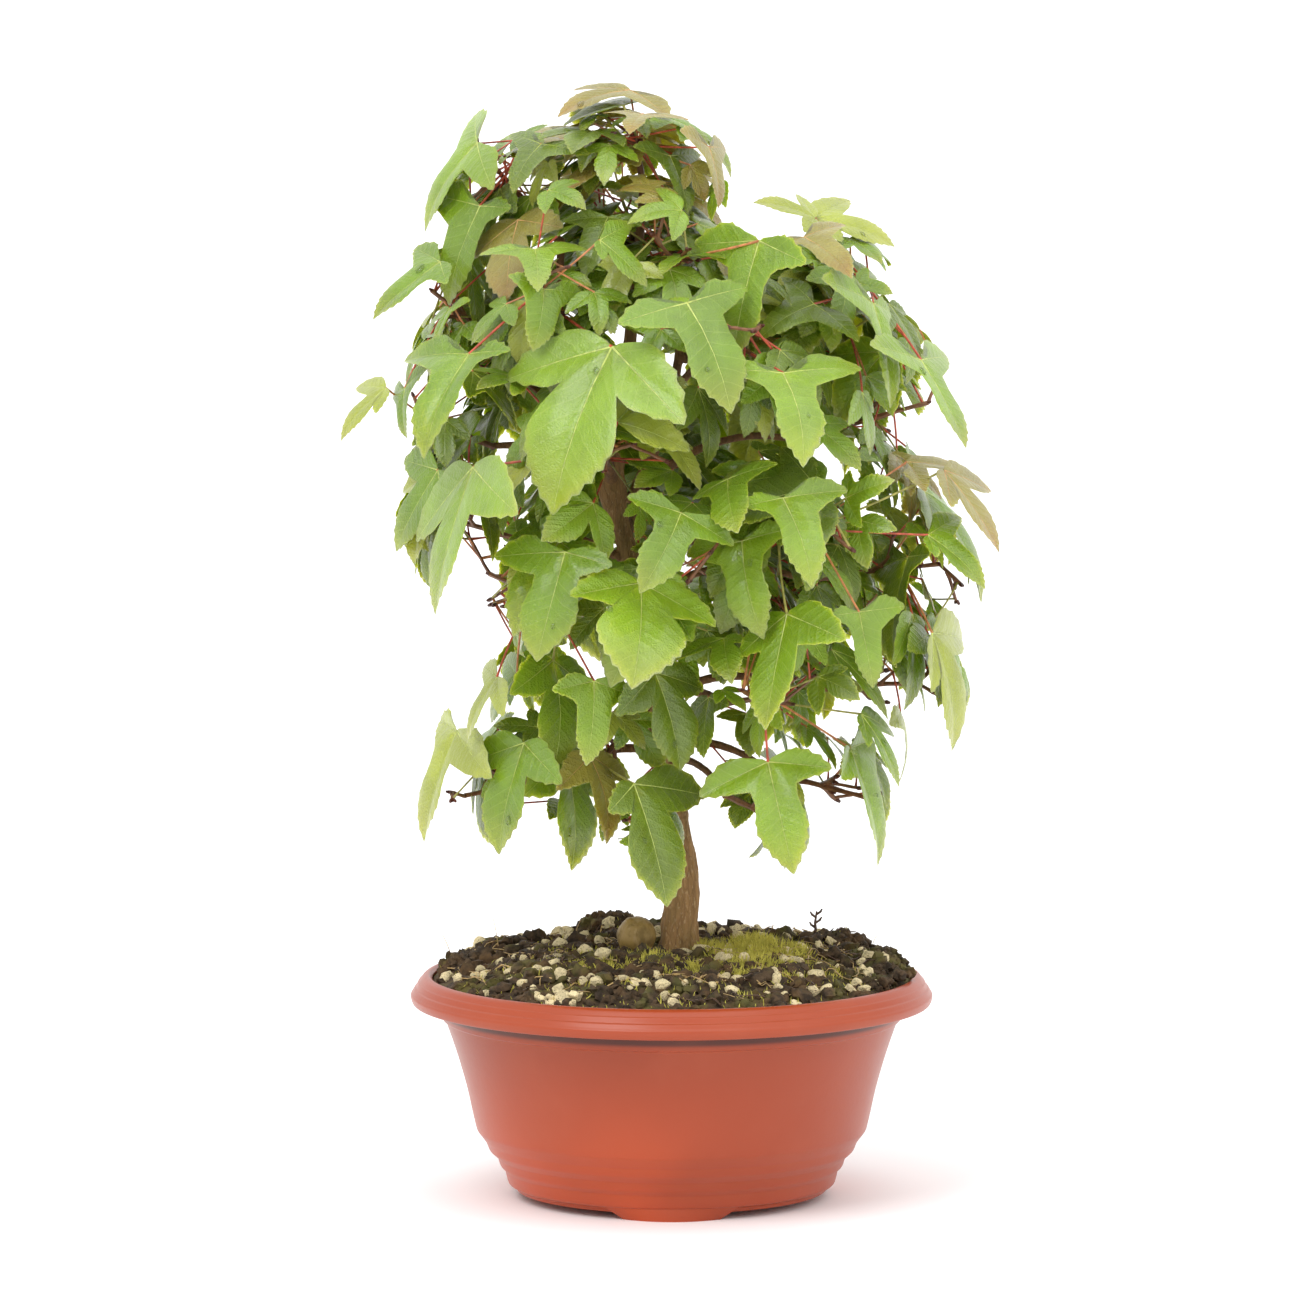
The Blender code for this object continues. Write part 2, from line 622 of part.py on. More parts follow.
def stalk_suits(leaf, taken):
    """Whether a leaf's stalk has a real one's length and bend, and leaves its node on a free side."""
    way = leaf["joint"] - leaf["root"]
    if not STALK_LENGTH[0] < way.length < STALK_LENGTH[1]:
        return False
    way.normalize()
    if way.dot(leaf["normal"] + leaf["along"]) < STALK_BEND:
        return False
    return len(taken) < NODE_STALKS and all(way.dot(other) < STALKS_APART for other in taken)


def shell_points(row, share, spacing, rng):
    """Evenly spread points on a mass's shell, by turns of the golden angle."""
    middle, reach = mass_space(row)
    mean = (reach.x + reach.y + reach.z) / 3 * share
    count = max(3, round(4 * math.pi * mean**2 / spacing**2))
    spin = rng.uniform(0, 2 * math.pi)
    for i in range(count):
        z = 1 - (2 * i + 1) / count
        turn = spin + i * math.pi * (3 - math.sqrt(5))
        flat = math.sqrt(1 - z * z)
        way = Vector((flat * math.cos(turn), flat * math.sin(turn), z))
        yield reaching(middle, way, reach, share + rng.uniform(-1, 1) * SHELL_DEPTH)


def leaf_places(spaces, rng):
    """Each leaf's size, place and mass, the largest first. A place belongs to the mass it is deepest in."""
    places = []
    low, high, usual = LEAF_LENGTH
    for shell, gap in ((LEAF_SHELL, LEAF_SPACING), (INNER_SHELL, LEAF_SPACING / INNER_SHARE)):
        for row in MASSES:
            for blade in shell_points(row, shell, gap, rng):
                size = rng.triangular(low, high, usual) * row[6]
                if min(spaces, key=lambda n: depth_in(blade, spaces[n])) == row[0]:
                    places.append((size, blade, row))
    return sorted(places, key=lambda place: -place[0])


def grow(limbs):
    """Twigs and leaves of every mass. A leaf that leaves its space or meets anything is skipped."""
    rng = random.Random(SEED)
    spaces = {row[0]: mass_space(row) for row in MASSES}
    wide_limbs = [[(p, r + LIMB_CLEAR) for p, r in course] for course in limbs.values()]
    limb_trees = [tree_of(*tube(course, BOUGH_SIDES)) for course in wide_limbs]
    twigs, nodes, used, blocks = {}, {}, {}, []
    for row in MASSES:
        twigs[row[0]] = twigs_of(row, limbs, rng)
        nodes[row[0]] = nodes_of(twigs[row[0]])
        used[row[0]] = {}
        for twig in twigs[row[0]]:
            tree = tree_of(*tube([(p, r + TWIG_CLEAR) for p, r in twig], TWIG_SIDES))
            blocks.append(("twig", row[0], twig[0][0].lerp(twig[-1][0], 0.5), tree))
    leaves = []
    for mass, joint, tip in SET_LEAVES:
        leaves.append(set_leaf(mass, Vector(joint), Vector(tip), nodes[mass], used[mass], rng))
        blocks += blocks_of(leaves[-1])
    for size, blade, row in leaf_places(spaces, rng):
        leaf = try_leaf(blade, row, size, nodes[row[0]], used[row[0]], limb_trees, blocks, rng)
        if leaf:
            leaves.append(leaf)
            blocks += blocks_of(leaf)
    return twigs, leaves


def blocks_of(leaf):
    """What a leaf keeps others out of: its blade, a little larger, and the whole of it."""
    points, faces = leaf_solid(dict(leaf, length=leaf["length"] * BLADE_CLEAR))
    return [("blade", leaf["mass"], blade_centre(leaf), tree_of(points, blade_faces(faces))),
            ("leaf", leaf["mass"], blade_centre(leaf), tree_of(points, faces))]


def blade_centre(leaf):
    return leaf["joint"] + leaf["along"] * leaf["length"] * BLADE_CENTRE


def set_leaf(mass, joint, tip, nodes, used, rng):
    """A leaf that faces out of the crown with its tip in a given place, from the node that suits it best."""
    along = (tip - joint).normalized()
    normal = Vector((joint.x, joint.y, 0)).normalized() + UP * SET_LIFT
    normal = (normal - along * normal.dot(along)).normalized()
    leaf = {
        "mass": mass, "joint": joint, "along": along, "normal": normal,
        "across": along.cross(normal), "length": (tip - joint).length, **leaf_shape(rng),
    }
    leaf["joint"] = joint + tip - blade_point(leaf, 0, leaf["length"])
    ways = {number: leaf["joint"] - node for number, node in enumerate(nodes)}
    ways = {number: way for number, way in ways.items() if way.length > STALK_LENGTH[0]}

    def suits(number):
        way = ways[number]
        return way.normalized().dot(normal + along) - way.length / STALK_LENGTH[1]

    number = max(ways, key=suits)
    used[number] = [ways[number].normalized()]
    return dict(leaf, root=nodes[number])


def clashes(leaf, limb_trees, blocks):
    """Whether a leaf meets a limb, another mass, or a blade or twig of its own mass."""
    points, faces = leaf_solid(leaf)
    whole, alone = tree_of(points, faces), tree_of(points, blade_faces(faces))
    if any(whole.overlap(tree) for tree in limb_trees):
        return True
    for kind, mass, spot, tree in blocks:
        if (spot - blade_centre(leaf)).length > BLOCK_REACH:
            continue
        if mass != leaf["mass"]:
            if kind != "blade" and whole.overlap(tree):
                return True
        elif (whole if kind == "blade" else alone).overlap(tree):
            return True
    return False


def in_bounds(leaf, space):
    """Whether a blade keeps to its mass's space and to the crown's reach."""
    rim = [blade_point(leaf, x * flip, y) for x, y in half_rim(leaf) for flip in (-1, 1)]
    rim.append(blade_point(leaf, 0, leaf["length"]))
    if max(depth_in(p, space) for p in rim) > SPACE_SLACK:
        return False
    return all(low < p[i] < high for p in rim for i, (low, high) in enumerate(zip(CROWN_LOW, CROWN_HIGH)))


def try_leaf(blade, row, size, nodes, used, limb_trees, blocks, rng):
    """The first of a few tries at a place that is clear of everything, or None."""
    space = mass_space(row)
    for trial in range(LEAF_TRIES):
        spot = blade.lerp(space[0], TRY_INWARD * trial) + sway(rng, TRY_SWAY * trial)
        leaf, number = best_leaf(spot, row, size * (1 - TRY_SHRINK * trial), nodes, used, rng)
        if leaf and in_bounds(leaf, space) and not clashes(leaf, limb_trees, blocks):
            used.setdefault(number, []).append((leaf["joint"] - leaf["root"]).normalized())
            return leaf
    return None


def make_mass(name, twigs, leaves, finish):
    """One mass of foliage, its twigs and leaves fused into one solid."""
    stem, *others = twigs
    mass = make_object("mass_" + name, *tube(stem, TWIG_SIDES), finish)
    parts = [make_object("twig", *tube(twig, TWIG_SIDES), finish) for twig in others]
    parts += [make_object("leaf", *leaf_solid(leaf), finish) for leaf in leaves]
    union(mass, parts)
    keep_largest(mass)
    return mass


def keep_largest(piece):
    """Drops loose scraps that fusing leaves."""
    form = bmesh.new()
    form.from_mesh(piece.data)
    left = set(form.verts)
    groups = []
    while left:
        front = [left.pop()]
        group = set(front)
        while front:
            for edge in front.pop().link_edges:
                for vert in edge.verts:
                    if vert in left:
                        left.remove(vert)
                        group.add(vert)
                        front.append(vert)
        groups.append(group)
    groups.sort(key=len, reverse=True)
    loose = [vert for group in groups[1:] for vert in group]
    bmesh.ops.delete(form, geom=loose, context="VERTS")
    form.to_mesh(piece.data)
    form.free()


def main():
    clear_scene()
    bark = finish_colour("bark", (0.17, 0.12, 0.08), 0.8)
    foliage = finish_colour("foliage", (0.15, 0.30, 0.05), 0.45)
    make_pot()
    make_soil()
    make_nut()
    limbs = all_limbs()
    for name, course in limbs.items():
        make_object(name, *limb_shape(name, course), bark, smooth=True)
    twigs, leaves = grow(limbs)
    for name, *_ in MASSES:
        make_mass(name, twigs[name], [leaf for leaf in leaves if leaf["mass"] == name], foliage)


main()
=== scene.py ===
"""A trident maple grown as a bonsai in a round plastic bowl, finished for its portrait.

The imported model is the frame: +Z up, the front faces -Y, the bowl's axis is the Z axis and the floor
is z = 0. Lengths in the tables are in millimetres and are scaled by MM where they are used.
"""
import math
import random

import bpy
import numpy as np
from bpy.props import FloatProperty, FloatVectorProperty, IntProperty, PointerProperty
from mathutils import Matrix, Vector, noise
from mathutils.bvhtree import BVHTree


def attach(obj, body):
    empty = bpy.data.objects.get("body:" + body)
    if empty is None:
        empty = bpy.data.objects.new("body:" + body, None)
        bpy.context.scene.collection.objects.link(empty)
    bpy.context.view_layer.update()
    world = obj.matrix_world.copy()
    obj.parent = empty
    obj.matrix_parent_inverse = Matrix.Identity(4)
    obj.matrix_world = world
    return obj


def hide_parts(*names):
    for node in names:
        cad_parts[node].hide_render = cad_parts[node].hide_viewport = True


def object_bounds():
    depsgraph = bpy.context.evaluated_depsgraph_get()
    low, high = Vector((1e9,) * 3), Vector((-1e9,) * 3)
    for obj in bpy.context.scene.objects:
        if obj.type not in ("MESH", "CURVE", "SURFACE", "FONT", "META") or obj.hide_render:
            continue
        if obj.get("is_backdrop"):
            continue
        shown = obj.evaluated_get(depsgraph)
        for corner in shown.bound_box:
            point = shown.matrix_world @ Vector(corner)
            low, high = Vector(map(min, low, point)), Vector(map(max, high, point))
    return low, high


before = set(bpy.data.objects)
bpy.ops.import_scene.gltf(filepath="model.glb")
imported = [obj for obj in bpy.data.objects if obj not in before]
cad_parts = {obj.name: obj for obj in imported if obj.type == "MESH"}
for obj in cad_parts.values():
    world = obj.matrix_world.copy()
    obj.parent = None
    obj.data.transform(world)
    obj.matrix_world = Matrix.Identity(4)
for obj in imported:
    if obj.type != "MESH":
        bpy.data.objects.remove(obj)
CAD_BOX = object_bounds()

bl_info = {
    "name": "Potted trident maple",
    "version": (1, 0, 0),
    "blender": (4, 5, 0),
    "location": "View3D > Sidebar > Maple",
    "description": "Bowl, soil, wood and leaves of a potted trident maple, with a stage to see it on",
    "category": "Object",
}

MM = 0.001
BODY = "root"
GAP = 0.3  # between pieces that touch
UP = Vector((0, 0, 1))
SMOOTH_BELOW = math.radians(32)
MERGE = 1e-6  # points this close, in metres, are one


def colour(red, green, blue):
    """A linear colour from its bytes on a screen."""
    shares = [byte / 255 for byte in (red, green, blue)]
    return tuple(s / 12.92 if s <= 0.04045 else ((s + 0.055) / 1.055) ** 2.4 for s in shares)


# Camera: how the photograph was taken
CAMERA_DISTANCE = 2.42
CAMERA_HEIGHT = 0.42
CAMERA_SIDE = -0.0065
CAMERA_AIM = 0.165  # height of the point on the bowl's axis at the middle of the picture
CAMERA_LENS = 225
FLOOR_RADIUS_M = 26

# Bowl: outer profile from under its base up to its mouth, as (radius, height, how far its corner is rounded)
MOUTH_RADIUS = 72
BOWL_OUTSIDE = (
    (46.8, 2.2, 0.5), (46.9, 3.3, 0.3), (49.1, 4, 0.4), (49.5, 5, 0.4), (50.2, 8, 0.5), (51.7, 9.5, 0.6),
    (52.5, 12.1, 0.5), (55, 14.3, 0.6), (56, 16.9, 0.5), (58.7, 20.4, 0.7), (59.8, 25, 2), (61.6, 33.5, 4),
    (64.8, 44.5, 4), (67.5, 52.2, 2), (68, 53.7, 0.3), (69, 54.1, 0.3), (69.4, 55.3, 0.5), (70.5, 58, 0.5),
    (72.9, 61, 0.6), (73.2, 63.6, 0.5), (75.9, 63.2, 0.5), (76.9, 59.2, 0.4), (77.4, 58.6, 0.25),
    (77.9, 58.9, 0.3), (78.4, 60, 0.7), (78.5, 61.3, 0.5), (77.9, 62, 0.3), (77.3, 63.2, 0.5),
    (76.8, 63.5, 0.3), (76.2, 65, 0.5), (75.8, 65.3, 0.3), (74.6, 66.9, 0.8), (73, 67.4, 0.6),
    (MOUTH_RADIUS, 66.4, 0.6),
)
BOWL_INSIDE = (
    (MOUTH_RADIUS, 62.5, 0.5), (69.2, 58.6, 1), (65.4, 52.6, 2), (62.6, 44.5, 3), (57.6, 25, 3), (52, 16, 2),
    (46.5, 5.2, 1.5),
)
BOWL_STEPS = 144
ARC_STEPS = 3  # edges of a rounded corner
CORNER_SHARE = 0.48  # of an edge that a corner's rounding may take up
FEET = 3
FOOT_INNER = 42
FOOT_OUTER = 48.8
FOOT_TOP = 4.4
FOOT_ANGLE = math.radians(51)  # between its two ends, at its top
FOOT_NARROW = 0.68  # its underside, as a share of its top
FOOT_STEPS = 14

# Soil, and what lies in it
SOIL_MIDDLE = 74.3
SOIL_FLAT = 18
SOIL_EDGE = 65.4
SOIL_FALL = 1.7
SOIL_SIDE = ((46.2, 5.5), (51.7, 16.3), (57.3, 25.3), (62.3, 44.8), (65.1, 52.9), (68.9, 58.9), (71.7, 62.8))
SOIL_STEPS = 120
SOIL_RING = 1.6  # between two rings of its surface
SOIL_ROUGH = (2.2, 0.9)  # height of its broad and its fine unevenness
CALM_EDGE = 5  # how far from the wall it starts
HEAPS = (  # x, y, reach and height of the heaps on the mound
    (-19, 44, 13, 6), (8, 46, 16, 2.5), (54, 26, 15, 5.5), (64, -4, 10, 4.5), (-54, 26, 13, 4),
    (-64, 2, 9, 3.5), (32, 44, 14, 2.5), (-40, -20, 14, 1.5),
)
CLUMPS = (  # x, y, height, reach and number of lumps of the loose clumps by the rim
    (66, -14, 71.5, 6, 90), (64, 3, 74, 7, 110), (56, 20, 75, 8, 110), (-64, 2, 72, 5.5, 70),
    (-20, 42, 79.5, 10, 160), (-53, 24, 73.5, 8, 80), (60, -27, 70.5, 5, 50),
)
RIM_TOP = 67.6
LITTER_EDGE = MOUTH_RADIUS - 0.8
CLOD_SIZE = (0.7, 3.8, 1.2)  # least, greatest, usual
CLUMP_SIZE = (0.9, 2.0)
GRAIN_SIZE = (1.1, 3.7, 2.0)
CREAM_SHARE = 0.7  # of the grains, the others tan
STRAW_LENGTH = (4, 13)
NUT_PLACE = (-10.6, -5)
NUT_RADIUS = 6
NUT_SUNK = 1.3

# Trunk: height, x, y and diameter at each place where its line or girth changes
TRUNK = (
    (SOIL_MIDDLE + GAP, 2, 0, 13.6), (79, 2.2, 0, 11.4), (96, 3.2, 0, 10.4), (111, 0.8, 0.4, 9.5),
    (129, -1.4, 0.8, 9.5), (150, -5, 1, 8.2), (172, -8.8, 0.8, 7), (192, -12.4, 0.4, 6.2),
    (205, -16.2, 0, 6.2), (214, -17.9, -0.4, 9), (221, -17.2, -0.8, 6.4), (240, -14.5, -0.8, 4.8),
    (262, -12, 0, 3.8), (288, -9.6, 0.4, 2.8), (303, -8.7, 0.6, 2.3),
)
TRUNK_SIDES = 9
BUTTRESSES = 3
FLARE = 0.12  # how far the foot's buttresses stand out, as a share of its radius
FLARE_TURN = 0.6

# Leaders: name, height on the trunk, tip, bow, diameters at root and tip
LEADERS = (
    ("leader_left", 217, (-33, 3, 288), (-12, 2, -6), 4.2, 2.4),
    ("leader_right", 203, (4, 6, 274), (9, 4, -4), 4.4, 2.4),
)
BOUGH_SIDES = 5
BOUGH_SEGMENTS = 3
BOUGH_SHARE = 0.62  # of the way from its root to the middle of its mass
BOUGH_LIFT = 0.16  # how far a bough arches, as a share of its length
BOUGH_TIP = 2
BOUGH_NARROW = 0.8  # a slim bough's tip, as a share of its root
TAPER = 0.8  # under 1 a limb narrows faster near its root

# Masses: name, limb it grows from, height of its root, middle, reach each way,
# diameter of its bough at the root (0 where its stem grows from the limb itself), leaf size
MASSES = (
    ("apex", "trunk", 303, (-10, -2, 312), (31, 29, 25), 0, 0.78),
    ("top_left", "leader_left", 286, (-46, 2, 302), (29, 28, 25), 2.6, 0.80),
    ("top_middle", "trunk", 268, (-3, -30, 282), (27, 26, 24), 0, 0.86),
    ("top_back", "trunk", 266, (-12, 36, 286), (31, 28, 27), 2.6, 0.86),
    ("upper_front_left", "leader_left", 246, (-37, -38, 272), (27, 27, 25), 2.8, 0.96),
    ("upper_left", "leader_left", 236, (-65, -4, 268), (26, 27, 24), 2.8, 0.96),
    ("upper_front_right", "leader_right", 236, (22, -50, 262), (29, 28, 28), 2.8, 1.06),
    ("upper_right", "leader_right", 250, (45, -4, 268), (30, 30, 26), 2.8, 0.9),
    ("upper_back_right", "leader_right", 222, (34, 46, 248), (32, 31, 32), 3, 1),
    ("upper_back_left", "trunk", 226, (-52, 42, 248), (31, 31, 31), 3, 1),
    ("big_leaf_front", "trunk", 214, (-20, -58, 230), (31, 32, 30), 3, 1),
    ("right_upper", "leader_right", 214, (69, 6, 236), (26, 28, 31), 3, 1),
    ("left_tip", "trunk", 212, (-76, 2, 235), (26, 24, 20), 2.8, 0.82),
    ("left_middle", "trunk", 190, (-66, -8, 204), (20, 25, 32), 2.8, 1),
    ("back_middle", "trunk", 196, (-6, 66, 208), (34, 30, 33), 3, 1.05),
    ("right_front", "trunk", 188, (38, -45, 204), (28, 29, 34), 3, 1.06),
    ("right_middle", "trunk", 180, (72, -2, 190), (26, 27, 25), 3, 0.95),
    ("front_middle", "trunk", 172, (3, -52, 188), (25, 27, 34), 2.8, 1.06),
    ("left_front", "trunk", 168, (-37, -34, 184), (24, 27, 27), 2.8, 1.06),
    ("back_left", "trunk", 164, (-48, 40, 180), (31, 31, 34), 3, 1),
    ("back_right", "trunk", 156, (38, 50, 170), (34, 32, 34), 3.2, 1),
    ("right_lower", "trunk", 150, (65, 4, 154), (27, 28, 28), 3.2, 1),
    ("front_right_low", "trunk", 146, (28, -50, 156), (28, 30, 27), 3, 1),
    ("left_low_middle", "trunk", 150, (-24, -30, 132), (22, 26, 29), 0, 1.05),
    ("low_left", "trunk", 134, (-53, -12, 124), (27, 27, 23), 3, 0.98),
    ("low_right", "trunk", 136, (51, -16, 124), (24, 27, 24), 3, 0.98),
    ("low_front", "trunk", 127, (-5, -37, 110), (22, 23, 22), 0, 0.95),
    ("low_front_right", "trunk", 131, (27, -47, 121), (26, 28, 24), 2.6, 0.98),
)

# Twigs of one mass
TWIG_SIDES = 3
TWIG_ROOT = 1.3
TWIG_TIP = 0.85
STEM_NODES = (0.42, 0.92)
STEM_REACH = 0.42
SIDE_REACH = 0.46
SIDE_ANGLE = math.radians(52)
SIDE_LENGTH = (0.75, 1.1)
SIDE_WIDE = 0.9  # a side twig's root, as a share of the stem there
STEM_BOW = (3, 2)  # on along its bough, and up
TIP_SINK = 1.6  # how far inside a twig's tip its last stalks are rooted

# Leaf: sizes as shares of its length, from the joint of its stalk to the tip of its middle lobe
LEAF_LENGTH = (27, 45, 37)  # shortest, longest, usual
SPREAD = (54, 80)  # degrees from the middle lobe to a side lobe
SIDE_LOBE = (0.55, 0.76)
CURL = (0.10, 0.38)
LOBE_BACK = (0.42, 0.15)  # the corner behind a side lobe, along it and behind it
NOTCH = (0.21, 0.40)
SHOULDER = (0.19, 0.67)
FULL_RIM = 46  # a shorter leaf's middle lobe has straight sides
LEAF_THICK = 0.035
BLADE_MIDDLE = 0.3
BLADE_CENTRE = 0.42
STALK_LENGTH = (7, 40)
STALK_USUAL = 0.55
STALK_STRAIGHT = 5  # how far from the usual length a stalk may be for running on into its blade
STALK_WIDE = 0.6
ROOT_WIDE = 0.85  # a stalk's root, as a share of its width

# Where leaves lie
SEED = 2
CLOD_SEED, GRAIN_SEED, MOSS_SEED, STRAW_SEED = 11, 12, 13, 14
LOOKS_SEED, TWIG_SEED, DEW_SEED = 21, 31, 41
LEAF_SPACING = 19
LEAF_SHELL = 0.72  # where a blade's middle lies, as a share of its mass's reach
LEAF_SHELLS = ((LEAF_SHELL, LEAF_SPACING), (0.36, LEAF_SPACING / 0.8))  # share of the reach, and spacing
SHELL_DEPTH = 0.2
LEAF_TRIES = 40
TRY_SHRINK = 0.006
TRY_INWARD = 0.013
TRY_SWAY = 0.7
SPACE_SLACK = 1.24
LIMB_CLEAR = 1
TWIG_CLEAR = 0.2
BLADE_CLEAR = 1.03
NODE_LENGTH = 3.4
ROOT_OUT = 0.35
NODE_STALKS = 2  # at most, and they leave on sides this different:
STALKS_APART = 0.3
STALK_BEND = 0.35  # a stalk comes from behind its blade or from under it, never from over it
BLOCK_REACH = 75
CROWN_MIDDLE = Vector((-6, 0, 190))
CROWN_FLAT = 0.3  # how little a leaf's height turns it up or down
FACING = (0.35, 0.85, 0.55, 0.28)  # out of its mass, out of the crown, up, and by chance
HANGING = (0.8, 0.4, 0.8, 0.35)  # away from its node, out of the crown, down, and by chance
CROWN_LOW = (-100.4, -92.4, 88)
CROWN_HIGH = (98.4, 92.4, 337)

# The one leaf given at the back, as mass, joint and tip
SET_LIFT = 0.4  # how far up it faces
SET_LEAF = ("back_middle", (-4, 76, 214), (1, 92, 190))

# Twigs and leaves that the source leaves out: finer and smaller ones, by the same rule
FINE_SEED = 5
SEEN_SEED = 7
THIN_LIMB = 3.2
STALK_NEAR = 1.2  # how near a stalk's root lies to the line of its twig
FINE_AT = (0.35, 0.7)
FINE_ANGLE = math.radians(48)
FINE_LENGTH = (7, 14)
FINE_WIDE = 0.75
FINE_TIP = 0.5
FINE_SHELL = 0.9
FINE_SHELLS = ((0.86, 13), (0.62, 15), (0.34, 17))
FINE_LEAF = (13, 32, 25)
THIN_STEM = 0.75  # radii of twigs, as a share of the source's
THIN_SIDE = 0.7
THIN_FINE = 0.8

# Blades, in shares of their length
SECTIONS = (  # first and last anchor of the outline, points between them, depth of each tooth
    (0, 4, 6, (0, 0.008, 0.020, 0.027, 0.027, 0.018)),
    (4, 7, 4, (0.016, 0.020, 0.008, 0)),
    (7, -1, 8, (0, 0.004, 0.014, 0.025, 0.028, 0.025, 0.017, 0.006)),
)
SIDE_TIP = 6  # the side lobe's tip, counted from behind the joint
TOOTH_AT = 0.62
NOTCH_AT = (0.29, 0.40)
MIDDLE_LOBE = ((0.200, 0.40), (0.232, 0.53), (0.215, 0.67), (0.155, 0.80), (0.075, 0.915), (0, 1))
RINGS = (0.26, 0.5, 0.72, 0.9)
RIB_END = 0.97
BLADE_THICK = 0.22  # millimetres
FOLD = (0.12, 0.5)
FOLD_REACH = 0.2
DROOP = (0, 0.42)
SEEN_DROOP = (0.05, 0.4)
SEEN_CURL = (0.08, 0.2)
SEEN_STALK = (20, 8, 16, 60, 12)  # its usual and least length; what a bend, a short one and a bare root cost
SEEN_ROUNDS = 5  # of moving a leaf's lobes towards where they look to end
SEEN_PULL = 0.7
SEEN_SPREAD = (math.radians(42), math.radians(100))
SEEN_SIDE = (0.4, 0.85)
EDGE_ON = 0.12  # below it a blade's side lobes can't be read, and are taken as:
USUAL_LOBE = (math.radians(64), 0.6)
SEEN_STEPS = (0, 4, -4, 8, 12, 16, 20, 26, 32)  # depths tried after the first, in millimetres
SEEN_MARGIN = 4
LEAST_OPEN = 0.22  # half a blade's width as it looks, as a share of its length
FRONT_CELL = 4  # points of the picture to a cell of the map of what may be hidden
BLADE_SHARES = (0.2, 0.45, 0.7, 0.88, 1)  # rings of a blade at which it is looked up there
FRONT_SLACK = 0.05  # how much of a leaf may lie where none should
CROWN_BOX = 999
BEND = 0.12
WAVE = (0, 0.035)
SLIM = (0.88, 1.12)
UNEVEN = 0.08
SCORCHED = 0.22
RIB_WIDE = 0.011
RIB_TAPER = 0.78
RIB_TALL = 0.35
STALK_THIN = 0.3
STALK_BOW = 0.05
STALK_SAG = 0.04
STALK_SHARES = (0.42, 0.33, 0.25)
SIDE_RIB = math.radians(64)
VEIN_LEAN = 0.85
VEIN_COUNT = 9
LEAF_MAP = "leaf"
AGE = "age"
YELLOWING = colour(170, 160, 76)
MOST_BLADES = 150  # in one piece
EDGES = {"bronze": colour(178, 104, 70), "deep": colour(120, 132, 44)}
PALE_VEIN = colour(190, 204, 116)
BRONZE_RIB = colour(206, 158, 104)
SCORCHED_TONE = colour(150, 82, 38)
BUD_TONE = colour(88, 44, 30)
UNDERSIDE = colour(176, 190, 140)
BRONZE_PLACES = (  # lowest and highest corner, and how many of the leaves there are bronze
    ((-45, -60, 302), (60, 60, 345), 0.55),
    ((66, -60, 180), (110, 60, 236), 0.45),
    ((5, -60, 262), (45, 60, 302), 0.22),
)

# Wood
BATCH = 4000  # points of the skin handled at a time
BARK_SWELL = 0.09  # as a share of the limb's radius
BARK_GRAIN = (0.42, 0.42, 0.13)
FLARE_TALL = 9
AGE_RADII = (1.3, 3.2)  # of the youngest and the oldest bark
FOOT_SUNK = 0.9
ROOT_SUNK = 1.6
STUBS = (  # height on the trunk, turn about it, rise, length and radius of a pruned stub
    (161, math.radians(200), math.radians(20), 8, 1.3), (118, math.radians(20), math.radians(30), 1.8, 1.5),
    (186, math.radians(-70), math.radians(25), 1.6, 1.1),
    (101, math.radians(150), math.radians(10), 0.9, 1.6),
    (140, math.radians(-120), math.radians(15), 1.2, 1.3),
)

# Soil litter
MOSS_TUFTS = (  # x, y, reach each way, tallest shoot and share of the shoots
    (24, -2, 18, 20, 7.4, 0.35), (-12, -22, 20, 14, 4.2, 0.13), (-32, -2, 14, 14, 4, 0.07),
    (42, -20, 12, 12, 3.4, 0.05), (25, -26, 15, 14, 5.2, 0.16), (8, -32, 13, 9, 3.8, 0.09),
)
HAIRS = (  # x, y, turn and height of hairs that stand up
    (-52, 12, 2, 11), (-66, 4, 2.8, 8), (-30, 30, 0.6, 7), (60, 20, 0.4, 6),
)
DEAD_TWIG = (43.5, 26, 9)  # x, y and height
SPRIGS = ((0.45, -1), (0.62, 1), (0.8, -1), (0.9, 1))  # how far up the dead twig, and to which side
STRAW_TONE = colour(188, 156, 100)
ROOT_TONE = colour(84, 58, 38)
TAN_GRAIN = colour(196, 164, 108)

# Lamps: name, turn from the front, rise, strength and softness in degrees
LIGHTS = (
    ("key", -35, 48, 1, 28), ("fill", 50, 38, 0.45, 60), ("top", 0, 78, 0.68, 50),
    ("back", 170, 40, 0.36, 90),
)

